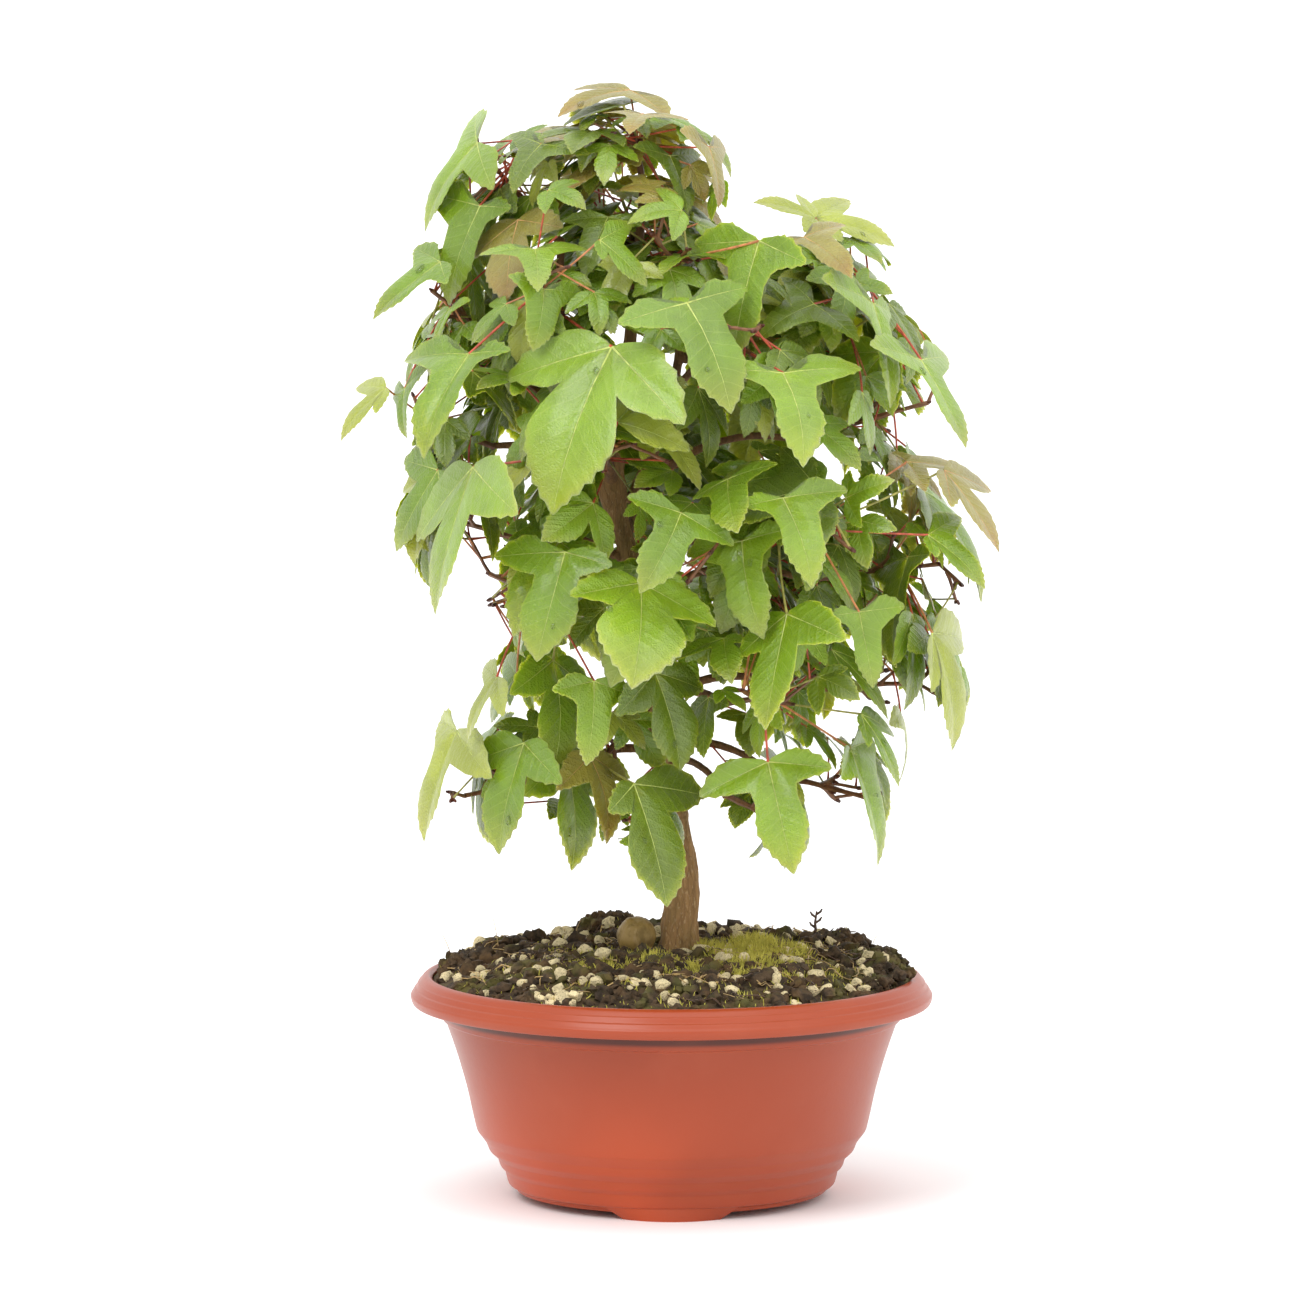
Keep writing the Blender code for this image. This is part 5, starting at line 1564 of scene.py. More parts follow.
def make_litter(settings):
    """Straws and roots lying on the soil, a few fine hairs and a small dead twig that stand up."""
    rng = random.Random(STRAW_SEED)
    straws, roots = [], []
    for number, (x, y, far) in enumerate(soil_places(settings.straws, 1.5, rng, outer=MOUTH_RADIUS - 6)):
        turn = rng.uniform(0, math.tau)
        length = rng.uniform(*STRAW_LENGTH)
        course = []
        for i in range(5):
            share = i / 4
            px = x + math.cos(turn) * length * (share - 0.5)
            py = y + math.sin(turn) * length * (share - 0.5)
            inside = min(1.0, (MOUTH_RADIUS - 2) / math.hypot(px, py))
            px, py = px * inside, py * inside
            turn += rng.uniform(-0.25, 0.25)
            spot = Vector((px, py, ground(px, py) + rng.uniform(0.6, 2.4)))
            course.append((spot, rng.uniform(0.1, 0.26) * (1 - 0.4 * share)))
        (straws if number % 2 else roots).append(course)
    for x, y, turn, height in HAIRS:
        root = Vector((x, y, ground(x, y) - 0.5))
        far = root + Vector((math.cos(turn), math.sin(turn), 0)) * height * 0.45 + UP * height
        bend = root.lerp(far, 0.5) + UP * height * 0.25
        straws.append([(arc(root, bend, far, i / 6), 0.14 - 0.012 * i) for i in range(7)])
    x, y, height = DEAD_TWIG
    root = Vector((x, y, ground(x, y) - 1))
    top = root + UP * height + Vector((0.6, 0, 0))
    roots.append([(root.lerp(top, i / 5) + sway(rng, 0.25), 0.62 - 0.07 * i) for i in range(6)])
    for share, way in SPRIGS:
        spot = root.lerp(top, share)
        roots.append([(spot, 0.35), (spot + Vector((way * 1.3, 0.3, 0.9)), 0.4),
                      (spot + Vector((way * 1.8, 0.3, 1.8)), 0.2)])
    for name, courses, tone in (("straws", straws, STRAW_TONE), ("roots", roots, ROOT_TONE)):
        piece = sweep(name, courses, 6)
        hand_over(piece, "soil", finishes=[wood_finish(name, tone)])


def make_nut(settings):
    """The round nut: a ball drawn out to a low point, with a flattened scar at its other end."""
    deselect()
    x, y = NUT_PLACE
    middle = Vector((x, y, SOIL_MIDDLE + GAP + NUT_RADIUS - NUT_SUNK))
    bpy.ops.mesh.primitive_uv_sphere_add(segments=40, ring_count=24, radius=NUT_RADIUS * MM)
    nut = begin("round_nut")
    select_vertices(nut, lambda p: p.z < -NUT_RADIUS * 0.9)
    bpy.ops.transform.resize(value=(1, 1, 0.92), center_override=(0, 0, 0))
    select_vertices(nut, lambda p: p.z > NUT_RADIUS * 0.985)
    bpy.ops.transform.translate(value=(0, 0, NUT_RADIUS * 0.08 * MM))
    bpy.ops.object.mode_set(mode="OBJECT")
    for vertex in nut.data.vertices:
        spot = vertex.co / MM
        turn = math.atan2(spot.y, spot.x)
        ridge = 0.012 * math.cos(9 * turn) * math.cos(spot.z / NUT_RADIUS * 1.5)
        lump = 0.03 * noise.noise(spot * 0.35)
        vertex.co = vertex.co * (1 + ridge + lump) * 0.98
    nut.data.transform(Matrix.Translation(middle * MM) @ Matrix.Rotation(math.radians(28), 4, (0.6, -0.8, 0)))
    return hand_over(nut, "nut_shell", "nut", finishes=[nut_finish(tuple(settings.shell))])


def visual_limbs(limbs):
    """The limbs' courses, made smooth, each root carried on into its parent and each foot into the soil."""
    courses = []
    for name, course in limbs.items():
        if name == "trunk":
            rows = smooth_course(course, 6)
            foot = rows[0]
            courses.append([(foot[0] - UP * FOOT_SUNK, foot[1] * 1.06), *rows])
            continue
        root, wide = course[0]
        back = (root - course[1][0]).normalized()
        start = [(root + back * 0.4, wide * 1.22), (root.lerp(course[1][0], 0.12), wide)]
        fine = smooth_course([*start, *course[1:]], 5)
        courses.append([(root + back * ROOT_SUNK, wide * 1.35), *fine])
    for height, turn, lean, length, wide in STUBS:
        spot, radius = at_height(limbs["trunk"], height)
        way = Vector((math.cos(turn) * math.cos(lean), math.sin(turn) * math.cos(lean), math.sin(lean)))
        steps = ((radius + length * 0.7, 1), (radius + length, 1.12), (radius + length + 0.5, 0.8))
        courses.append([(spot, wide), *[(spot + way * far, wide * share) for far, share in steps]])
    return courses


def radii_at(points, courses):
    """The radius of the limb that each point of the skin lies on."""
    pairs = [pair for course in courses for pair in zip(course, course[1:])]
    starts, near = np.array([a for (a, _), _ in pairs]), np.array([radius for (_, radius), _ in pairs])
    ends, far = np.array([b for _, (b, _) in pairs]), np.array([radius for _, (_, radius) in pairs])
    along = ends - starts
    square = (along**2).sum(1)
    radii = np.empty(len(points))
    for i in range(0, len(points), BATCH):
        block = points[i:i + BATCH, None, :] - starts[None]
        share = np.clip((block * along).sum(2) / square, 0, 1)
        radius = near + (far - near) * share
        off = np.linalg.norm(block - share[..., None] * along, axis=2) / radius
        best = off.argmin(1)
        radii[i:i + BATCH] = radius[np.arange(len(best)), best]
    return radii


def make_limbs(settings):
    """Trunk, leaders and boughs as one skin with the bark's relief, old and young wood told apart."""
    limbs = all_limbs()
    courses = visual_limbs(limbs)
    skin = sweep("trunk_and_boughs", courses, 12)
    add_modifier(skin, "REMESH", mode="VOXEL", voxel_size=settings.skin * MM)
    add_modifier(skin, "SMOOTH", factor=0.6, iterations=4)
    mesh = skin.data
    points = np.empty(len(mesh.vertices) * 3)
    mesh.vertices.foreach_get("co", points)
    points = points.reshape(-1, 3) / MM
    normals = np.array([vertex.normal for vertex in mesh.vertices])
    radii = radii_at(points, courses)
    for i, (point, radius) in enumerate(zip(points, radii)):
        spot = Vector([place * grain for place, grain in zip(point, BARK_GRAIN)])
        swell = noise.fractal(spot, 0.9, 2.1, 4) * BARK_SWELL * radius
        foot = max(0.0, 1 - (point[2] - SOIL_MIDDLE) / FLARE_TALL)
        turn = math.atan2(point[1], point[0] - TRUNK[0][1])
        swell += foot * foot * radius * FLARE * math.cos(BUTTRESSES * turn + FLARE_TURN)
        points[i] += normals[i] * swell
    mesh.vertices.foreach_set("co", (points * MM).ravel())
    age = np.clip((radii - AGE_RADII[0]) / (AGE_RADII[1] - AGE_RADII[0]), 0, 1)
    mesh.attributes.new(AGE, "FLOAT", "POINT").data.foreach_set("value", age)
    finish = bark_finish(tuple(settings.bark), tuple(settings.young))
    nodes = [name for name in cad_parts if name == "trunk" or name.startswith(("bough_", "leader_"))]
    return hand_over(skin, "bark", *nodes, finishes=[finish], smooth=math.radians(70))


def camera_axes():
    """Where the camera stands, and its ways ahead, right and up."""
    eye = Vector((CAMERA_SIDE, -CAMERA_DISTANCE, CAMERA_HEIGHT)) / MM
    ahead = (Vector((CAMERA_SIDE, 0, CAMERA_AIM)) / MM - eye).normalized()
    side = ahead.cross(UP).normalized()
    return eye, ahead, side, side.cross(ahead)


def eye_and_sight(px, py):
    """Where the camera stands, and the way in which it sees a point of the picture, one deep."""
    eye, ahead, side, lift = camera_axes()
    unit = SENSOR / CAMERA_LENS / PICTURE
    return eye, ahead + side * (px - PICTURE / 2) * unit - lift * (py - PICTURE / 2) * unit


def seen_at(points):
    """The places in the picture of points in space."""
    eye, ahead, side, lift = camera_axes()
    off = np.asarray([tuple(point) for point in points]) - np.array(eye)
    flat = off @ np.array([side, -lift]).T / (off @ np.array(ahead))[:, None]
    return flat * CAMERA_LENS * PICTURE / SENSOR + PICTURE / 2


def within(points, outline):
    """Which points of the picture an outline holds."""
    outline = np.asarray(outline, float)
    low, high = outline.min(0), outline.max(0)
    near = ((points > low) & (points < high)).all(1)
    x, y = points[near].T
    inside = np.zeros(len(x), bool)
    for (ax, ay), (bx, by) in zip(outline, np.roll(outline, -1, axis=0)):
        if ay != by:
            inside ^= ((ay > y) != (by > y)) & (x < (bx - ax) * (y - ay) / (by - ay) + ax)
    near[near] = inside
    return near


def front_at(x, z):
    """How far forward the crown's front lies."""
    for (low, ma, ha), (high, mb, hb) in zip(CROWN_FRONT, CROWN_FRONT[1:]):
        if z <= high or high == CROWN_FRONT[-1][0]:
            share = clamp((z - low) / (high - low), 0, 1)
            middle, half = ma + (mb - ma) * share, ha + (hb - ha) * share
            return -FRONT_DEPTH * math.sqrt(max(half**2 - (x - middle) ** 2, (0.1 * half) ** 2))


def pose(tip, across):
    """A blade's length and axes, as (right, up, nearer), from its middle lobe and half width as they look."""
    p, q, both = tip.length_squared, across.length_squared, tip.dot(across)
    total = q + SEEN_RATIO**2 * p
    root = math.sqrt(max(0, total**2 - 4 * SEEN_RATIO**2 * (p * q - both**2)))
    length = math.sqrt((total + root) / 2) / SEEN_RATIO
    along, side = tip / length, across / (SEEN_RATIO * length)
    near = math.sqrt(max(0, 1 - along.length_squared))
    other = math.sqrt(max(0, 1 - side.length_squared)) * (-1 if along.dot(side) > 0 else 1)
    return length, Vector((*along, near)).normalized(), Vector((*side, other)).normalized()


def opened(tip, across):
    """Half a blade's width as it looks, where one seen on edge is turned to show some of its face."""
    square = Vector((-tip.y, tip.x)).normalized()
    return across - square * max(0.0, across.dot(square) + LEAST_OPEN * tip.length)


def half_lobe(side, along, tip):
    """A side lobe's angle and length from where its tip looks to be."""
    det = side.x * along.y - side.y * along.x
    if abs(det) < EDGE_ON:
        return USUAL_LOBE
    out = abs((tip.x * along.y - tip.y * along.x) / det)
    ahead = (side.x * tip.y - side.y * tip.x) / det
    return clamp(math.atan2(out, ahead), *SEEN_SPREAD), clamp(math.hypot(out, ahead), *SEEN_SIDE)


def seen_leaf(row, y, rng):
    """A leaf at a depth whose lobes end where the picture shows them to."""
    px = [Vector(row[i:i + 2]) for i in (0, 2, 4, 6)]
    eye, sight = eye_and_sight(*px[0])
    joint = eye + sight * ((y - eye.y) / sight.y)
    unit = SENSOR / CAMERA_LENS / PICTURE * ((joint - eye).length / sight.length)
    near = -sight.normalized()
    right = UP.cross(near).normalized()
    up = near.cross(right)
    flip = Vector((1, -1))
    tip, a, b = [(p - px[0]) * flip * unit for p in px[1:]]
    if tip.x * (a - b).y - tip.y * (a - b).x > 0:
        a, b = b, a
    wanted = (tip, a, b)
    looks = [way.copy() for way in wanted]
    leaf = {"mass": "seen", "curl": rng.uniform(*SEEN_CURL), **looks_of(rng, SEEN_DROOP)}
    if len(row) > 10:
        leaf.update(slim=row[10], notch=NOTCH_AT[0] * row[10])
    for _ in range(SEEN_ROUNDS):
        length, along, across = pose(looks[0], opened(looks[0], (looks[1] - looks[2]) / 2))
        halves = [half_lobe(across.xy, along.xy, side / length) for side in looks[1:]]
        ways = [right * v.x + up * v.y + near * v.z for v in (along, across)]
        if ways[1].cross(ways[0]).z < 0:
            ways = [right * v.x + up * v.y - near * v.z for v in (along, across)]
        along, across = ways[0], (ways[1] - ways[0] * ways[1].dot(ways[0])).normalized()
        leaf.update(length=length, along=along, across=across, normal=across.cross(along), joint=joint,
                    halves=halves, spread=halves[0][0], side=halves[0][1])
        start = in_space(leaf, blade_spot(leaf, 0, 0))
        ends = [(0, 1)] + [(math.sin(s) * q * f, math.cos(s) * q) for (s, q), f in zip(halves, (1, -1))]
        for look, want, end in zip(looks, wanted, ends):
            off = in_space(leaf, blade_spot(leaf, *end)) - start
            look += (want - Vector((off.dot(right), off.dot(up)))) * SEEN_PULL
        leaf["joint"] = joint * 2 - start
    leaf["class"] = row[9]
    return leaf


def rim_of(leaf):
    """The outline of a leaf's blade in space."""
    if "halves" not in leaf:
        half = half_rim(leaf)
        rim = [blade_point(leaf, x, y) for x, y in half] + [blade_point(leaf, 0, leaf["length"])]
        return rim + [blade_point(leaf, -x, y) for x, y in reversed(half)] + [blade_point(leaf, 0, 0)]
    right, _ = half_outline(leaf, False)
    left, _ = half_outline(leaf, True)
    flat = [(-x, y) for x, y in left] + [tuple(p) for p in right[-2::-1]]
    return [in_space(leaf, blade_spot(leaf, *p)) for p in flat]


def root_for(leaf, roots, hidden):
    """Where on the wood a seen leaf's stalk starts: near, behind its joint, best out of sight."""
    joint = leaf["joint"]
    off = np.array(joint) - roots
    length = np.linalg.norm(off, axis=1)
    way = off / np.maximum(length, 1e-6)[:, None]
    bent = way @ np.array(leaf["normal"] * 0.6 + leaf["along"] * 0.8)
    usual, least, bend_cost, short_cost, shown_cost = SEEN_STALK
    cost = abs(length - usual) + bend_cost * np.maximum(0, 0.5 - bent)
    cost += short_cost * (length < least) + shown_cost * ~hidden
    return Vector(roots[cost.argmin()])


def place_seen(limb_trees, rng):
    """The leaves of the table, each at the first depth that is clear of limbs and of the leaves before it."""
    leaves, blocks = [], []
    for row in sorted(SEEN_LEAVES, key=lambda row: row[8]):
        eye, sight = eye_and_sight(*row[:2])
        flat = eye + sight * (-eye.y / sight.y)
        front = front_at(flat.x, flat.z) + row[8] * LAYER
        for step in SEEN_STEPS:
            state = rng.getstate()
            leaf = seen_leaf(row, front + step, rng)
            points, faces, *_ = fine_blade(leaf)
            tree = tree_of(points, faces)
            if not any(tree.overlap(other) for other in limb_trees) and not any(
                    (spot - leaf["joint"]).length < BLOCK_REACH and tree.overlap(other)
                    for _, _, spot, other in blocks):
                break
            rng.setstate(state)
        low = min(p.y for p in points)
        if low < CROWN_LOW[1]:
            leaf["joint"].y += CROWN_LOW[1] - low
        leaves.append(leaf)
        blocks.append(("seen", "seen", blade_centre(leaf), tree))
    return leaves, blocks


class Front:
    """What the camera is to see: how far forward a leaf may lie at each place of the picture."""

    def __init__(self, leaves):
        size = PICTURE // FRONT_CELL
        rows, columns = np.mgrid[:size, :size]
        self.cells = np.column_stack([columns.ravel(), rows.ravel()]) * FRONT_CELL + FRONT_CELL / 2
        self.nearest = np.where(within(self.cells, BODY_OUTLINE), -CROWN_BOX, CROWN_BOX).astype(float)
        for leaf in leaves:
            self.limit(within(self.cells, seen_at(rim_of(leaf))), leaf["joint"].y + SEEN_MARGIN)
        for places, depth in ((TRUNK_SEEN, 2.0), (SKY, CROWN_BOX)):
            for x, y, radius in places:
                self.limit(np.hypot(*(self.cells - (x, y)).T) < radius, depth)
        self.nearest = self.nearest.reshape(size, size)

    def limit(self, where, depth):
        self.nearest[where] = np.maximum(self.nearest[where], depth)

    def hides(self, points):
        """Which points lie behind a leaf of the front."""
        column, row = (seen_at(points) / FRONT_CELL).astype(int).T
        nearest = self.nearest[row, column]
        return (nearest > -CROWN_BOX) & (nearest < points[:, 1])

    def allows(self, leaf):
        """Whether a leaf keeps inside the crown's outline, off the sky, and behind what is to be seen."""
        rim = np.array([tuple(p) for p in rim_of(leaf)])
        rim = np.vstack([rim, (rim + np.roll(rim, -1, axis=0)) / 2])
        middle = np.array(blade_centre(leaf))
        points = np.vstack([middle + (rim - middle) * share for share in BLADE_SHARES])
        column, row = (seen_at(points) / FRONT_CELL).astype(int).T
        astray = self.nearest[row, column] > middle[1]
        return astray.mean() < FRONT_SLACK


def finer_twigs(row, twigs, blocks, rng):
    """Short twigs that carry on from a mass's own twigs, kept off its leaves and inside its space."""
    space = mass_space(row)
    fine = []
    for twig in twigs:
        (a, _), (b, _) = twig[-2:]
        way = (b - a).normalized()
        side, lift = frame_along(way)
        for share in FINE_AT:
            ahead = around(way, around(side, lift, rng.uniform(0, math.tau)), FINE_ANGLE)
            spot = a.lerp(b, share)
            far = spot + ahead * rng.uniform(*FINE_LENGTH)
            course = [(spot, FINE_WIDE), (far, FINE_TIP)]
            tree = tree_of(*tube(course, TWIG_SIDES))
            near = [other for kind, _, place, other in blocks
                    if kind == "leaf" and (place - far).length < BLOCK_REACH]
            if depth_in(far, space) < FINE_SHELL and not any(tree.overlap(other) for other in near):
                fine.append(course)
    return fine


def grow_all():
    """The source's twigs and leaves, then finer twigs and smaller leaves by the same rule."""
    twigs, crown = grow(all_limbs())
    rng = random.Random(FINE_SEED)
    fine = {row[0]: finer_twigs(row, twigs[row[0]], crown.blocks, rng) for row in MASSES}
    nodes = {}
    for name, own in twigs.items():
        ends = [twig[-2:] for twig in own]
        nodes[name] = nodes_of([ends[0], *ends, *fine[name]])
    used = {name: {} for name in twigs}
    crown.fill(leaf_places(FINE_SHELLS, FINE_LEAF, rng), nodes, used, rng)
    return twigs, fine, crown.leaves


def looks_of(rng, droop):
    """How one blade folds, droops, bends and waves."""
    return {
        "fold": rng.uniform(*FOLD), "droop": rng.uniform(*droop), "bend": rng.uniform(-BEND, BEND),
        "wave": rng.uniform(*WAVE), "phase": rng.uniform(0, math.tau), "slim": rng.uniform(*SLIM),
        "notch": rng.uniform(*NOTCH_AT),
        "scorched": rng.random() < SCORCHED, "stalk": rng.choices(range(3), STALK_SHARES)[0],
    }


def give_looks(leaves):
    """Deals out to the grown leaves their shape's small differences and their tint."""
    rng = random.Random(LOOKS_SEED)
    for leaf in leaves:
        if "halves" in leaf:
            continue
        leaf.update(looks_of(rng, DROOP))
        leaf["halves"] = [(leaf["spread"] * (1 + rng.uniform(-UNEVEN, UNEVEN)),
                           leaf["side"] * (1 + rng.uniform(-UNEVEN, UNEVEN))) for _ in range(2)]
        leaf["class"] = tint_of(leaf, rng)


def tint_of(leaf, rng):
    """Which tint a leaf has: bronze on young shoots at the top and right tip, deeper green inside."""
    spot = leaf["joint"]
    for low, high, share in BRONZE_PLACES:
        if all(a <= s <= b for a, s, b in zip(low, spot, high)) and rng.random() < share:
            return "bronze"
    out = min(1.0, math.hypot(spot.x, spot.y) / 80)
    shares = [(1.3 - out) * 0.25, 0.42, 0.2, 0.05 + 0.1 * out]
    return rng.choices(("deep", "mid", "fresh", "yellow"), shares)[0]


def section(anchors, steps):
    """A smooth line through anchor points, sampled at even shares of its anchors."""
    rows = [2 * anchors[0] - anchors[1], *anchors, 2 * anchors[-1] - anchors[-2]]
    line = []
    for i in range(steps):
        at = i / steps * (len(anchors) - 1)
        line.append(spline(*rows[int(at):int(at) + 4], at - int(at)))
    return line


def half_outline(leaf, left):
    """Half an outline from behind the joint to the tip, in leaf lengths, with a tooth after each point."""
    spread, side = leaf["halves"][left]
    notch = min(leaf["notch"], 0.66 * side)
    width = min(0.135, 0.4 * spread * notch) * leaf["slim"]
    polar = [
        (min(spread + 1.10, 2.25), 0.05), (min(spread + 0.78, 1.9), 0.30 * side + 0.03),
        (spread + 0.47, 0.53 * side), (spread + 0.20, 0.80 * side), (spread, side),
        (spread - 0.075 / side, 0.86 * side), (spread - width / (0.66 * side), 0.68 * side),
        (0.52 * spread, notch),
    ]
    anchors = [np.array((math.sin(a) * r, math.cos(a) * r)) for a, r in polar]
    anchors += [np.array((x * leaf["slim"], y)) for x, y in MIDDLE_LOBE if y > notch * 1.15]
    line, teeth = [], []
    for first, last, steps, depth in SECTIONS:
        part = section(anchors[first:last + 1 or None], steps)
        after = [*part[1:], anchors[last]]
        for i, (a, b) in enumerate(zip(part, after)):
            ahead = b - a
            outward = np.array((ahead[1], -ahead[0])) / max(np.linalg.norm(ahead), 1e-6)
            line.append(a)
            teeth.append(a + ahead * TOOTH_AT + outward * depth[min(i, len(depth) - 1)])
    line.append(anchors[-1])
    return line, teeth


def blade_spot(leaf, x, y):
    """Where a point of the blade lies, in leaf lengths across, along and off the leaf's plane."""
    far = abs(x)
    rib = leaf["halves"][x < 0][0]
    off = min(far, abs(far * math.cos(rib) - y * math.sin(rib)) if y < far * 3 else far)
    crease = min(off, FOLD_REACH)
    lift = leaf["fold"] * (crease - crease**2 / (2 * FOLD_REACH))
    lift -= leaf["droop"] * max(0.0, y - 0.45) ** 2
    reach = math.hypot(x, y)
    angle = math.atan2(x, y)
    lift += leaf["wave"] * reach**2 * math.sin(4 * angle + leaf["phase"])
    sag = leaf["curl"] * (far**2 + (y - BLADE_MIDDLE) ** 2)
    return x + leaf["bend"] * max(0.0, y) ** 2, y, lift - sag


def in_space(leaf, spot, thick=0.0):
    x, y, z = spot
    length = leaf["length"]
    return (leaf["joint"] + leaf["across"] * x * length + leaf["along"] * y * length
            + leaf["normal"] * (z * length + thick))


def fine_blade(leaf):
    """A closed blade of two layers, with its map, and the middle points of its three ribs."""
    right, right_teeth = half_outline(leaf, False)
    left, left_teeth = half_outline(leaf, True)
    flip = np.array((-1, 1))
    rim = [p * flip for p in left] + right[-2::-1]
    teeth = [p * flip for p in left_teeth] + right_teeth[::-1]
    count, last = len(rim), len(rim) - 1
    spots = [(0.0, 0.0)] + [tuple(p) for p in rim] + [tuple(p) for p in teeth]
    lifts = [0.0] * len(spots)
    rings = {}
    for side in (1, -1):
        for ring, share in enumerate(RINGS):
            for j, p in enumerate(rim):
                if side < 0 and j in (0, last):
                    rings[side, ring, j] = rings[1, ring, j]
                    continue
                rings[side, ring, j] = len(spots)
                spots.append(tuple(p * share))
                lifts.append(0.0 if j in (0, last) else side * BLADE_THICK / 2)
    points = [in_space(leaf, blade_spot(leaf, *spot), lift) for spot, lift in zip(spots, lifts)]
    faces, numbers = [], []
    tip = count // 2
    for side, finish in ((1, 0), (-1, 1)):
        for j in range(last):
            dry = leaf["scorched"] and j in (tip - 1, tip)
            here = [rings[side, k, j] for k in range(len(RINGS))]
            after = [rings[side, k, j + 1] for k in range(len(RINGS))]
            strip = [(0, after[0], here[0])]
            strip += [(here[k], after[k], after[k + 1], here[k + 1]) for k in range(len(RINGS) - 1)]
            strip.append((here[-1], after[-1], 2 + j, 1 + count + j, 1 + j))
            for k, face in enumerate(strip):
                over = face if (side > 0) == (k == 0) else face[::-1]
                faces.append(over)
                numbers.append(2 if dry and k == len(strip) - 1 else finish)
    flat = [map_spot(leaf, *spot) for spot in spots]
    ribs = []
    for j in (tip, SIDE_TIP, last - SIDE_TIP):
        shares = (0.0, *RINGS, RIB_END)
        ribs.append([blade_spot_on(leaf, rim[j], share) for share in shares])
    return points, faces, numbers, flat, ribs


def blade_spot_on(leaf, end, share):
    """A point of a rib, on the straight run between two rings of the blade."""
    if share <= RINGS[-1]:
        return in_space(leaf, blade_spot(leaf, *(end * share)))
    a = in_space(leaf, blade_spot(leaf, *(end * RINGS[-1])))
    b = in_space(leaf, blade_spot(leaf, *end))
    return a.lerp(b, (share - RINGS[-1]) / (1 - RINGS[-1]))


def map_spot(leaf, x, y):
    """A point's place on a leaf whose side ribs leave at the usual angle, for its pattern."""
    reach, angle = math.hypot(x, y), abs(math.atan2(x, y))
    spread = leaf["halves"][x < 0][0]
    usual = angle * SIDE_RIB / spread if angle < spread else SIDE_RIB + (angle - spread)
    return math.copysign(math.sin(usual) * reach, x), math.cos(usual) * reach


def rib_shape(leaf, line):
    """A rib: a strip of diamond section through the blade, standing out of both its faces."""
    length = leaf["length"]
    points = []
    for i, spot in enumerate(line):
        ahead = line[min(i + 1, len(line) - 1)] - line[max(i - 1, 0)]
        across = ahead.cross(leaf["normal"]).normalized()
        normal = across.cross(ahead).normalized()
        share = i / (len(line) - 1)
        wide = RIB_WIDE * length * (1 - RIB_TAPER * share)
        tall = BLADE_THICK / 2 + wide * RIB_TALL
        points += [spot + across * wide, spot + normal * tall, spot - across * wide, spot - normal * tall]
    faces = tube_faces(len(line), 4)
    return points, faces, np.zeros(len(faces), int)


def make_leaves(settings):
    """Every blade, by tint, with its ribs, and its stalk by colour, and the twigs that carry them."""
    twigs, fine, leaves = grow_all()
    give_looks(leaves)
    tints = {"deep": settings.deep, "mid": settings.mid, "fresh": settings.fresh,
             "yellow": settings.yellow, "bronze": settings.bronze}
    masses = [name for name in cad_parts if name.startswith("mass_")]
    scorched = dry_finish(SCORCHED_TONE)
    for tint, tone in tints.items():
        finishes = [leaf_finish("leaf_" + tint, tuple(tone), settings.gloss, EDGES.get(tint, YELLOWING)),
                    underside_finish("leaf_under_" + tint, tuple(tone)), scorched]
        tinted = [leaf for leaf in leaves if leaf["class"] == tint]
        ribs = []
        for start in range(0, len(tinted), MOST_BLADES):
            blades, maps = [], []
            for leaf in tinted[start:start + MOST_BLADES]:
                points, faces, numbers, flat, lines = fine_blade(leaf)
                blades.append((points, faces, numbers))
                maps.append(np.array(flat))
                ribs += [rib_shape(leaf, line) for line in lines]
            name = f"leaves_{tint}_{start // MOST_BLADES + 1}" if start else "leaves_" + tint
            piece = joined(name, blades, maps)
            hand_over(piece, "foliage", *masses, finishes=finishes, smooth=math.radians(50))
        piece = joined("ribs_" + tint, ribs)
        rib_tone = tuple(settings.rib) if tint != "bronze" else BRONZE_RIB
        hand_over(piece, "foliage", finishes=[wood_finish("rib_" + tint, rib_tone)])
    make_stalks(settings, leaves)
    make_twigs(settings, twigs, fine, leaves)
    make_dew(settings, leaves)


def make_stalks(settings, leaves):
    """Leaf stalks: thin, a little bowed, thicker where they leave their twig."""
    tones = (settings.stalk_red, settings.stalk_orange, settings.stalk_green)
    names = ("stalks_red", "stalks_orange", "stalks_green")
    for number, (name, tone) in enumerate(zip(names, tones)):
        courses = []
        for leaf in leaves:
            if leaf["stalk"] != number:
                continue
            root = leaf["root"]
            end = in_space(leaf, blade_spot(leaf, 0, 0))
            way = end - root
            bend = root.lerp(end, 0.55) + leaf["normal"] * way.length * STALK_BOW
            bend -= UP * way.length * STALK_SAG
            wide = STALK_THIN * (0.8 + 0.012 * leaf["length"])
            courses.append([(arc(root, bend, end, i / 7), wide * (1.5 if i == 0 else 1.0 if i < 7 else 1.2))
                            for i in range(8)])
        piece = sweep(name, courses, 6)
        hand_over(piece, "foliage", finishes=[wood_finish(name, tuple(tone))])


def trimmed(twig, roots):
    """A twig cut off past its last stalk, or None where it carries none."""
    line, cut = [twig[0]], None
    for (a, ra), (b, rb) in zip(twig, twig[1:]):
        along = b - a
        off = roots - np.array(a)
        share = np.clip(off @ np.array(along) / along.length_squared, 0, 1)
        near = np.linalg.norm(off - share[:, None] * np.array(along), axis=1) < STALK_NEAR
        if near.any():
            last = min(1.0, share[near].max() + 1.0 / along.length)
            cut = (len(line), last)
        line.append((b, rb))
    if not cut:
        return None
    number, share = cut
    (a, ra), (b, rb) = line[number - 1], line[number]
    return line[:number] + [(a.lerp(b, share), ra + (rb - ra) * share)]


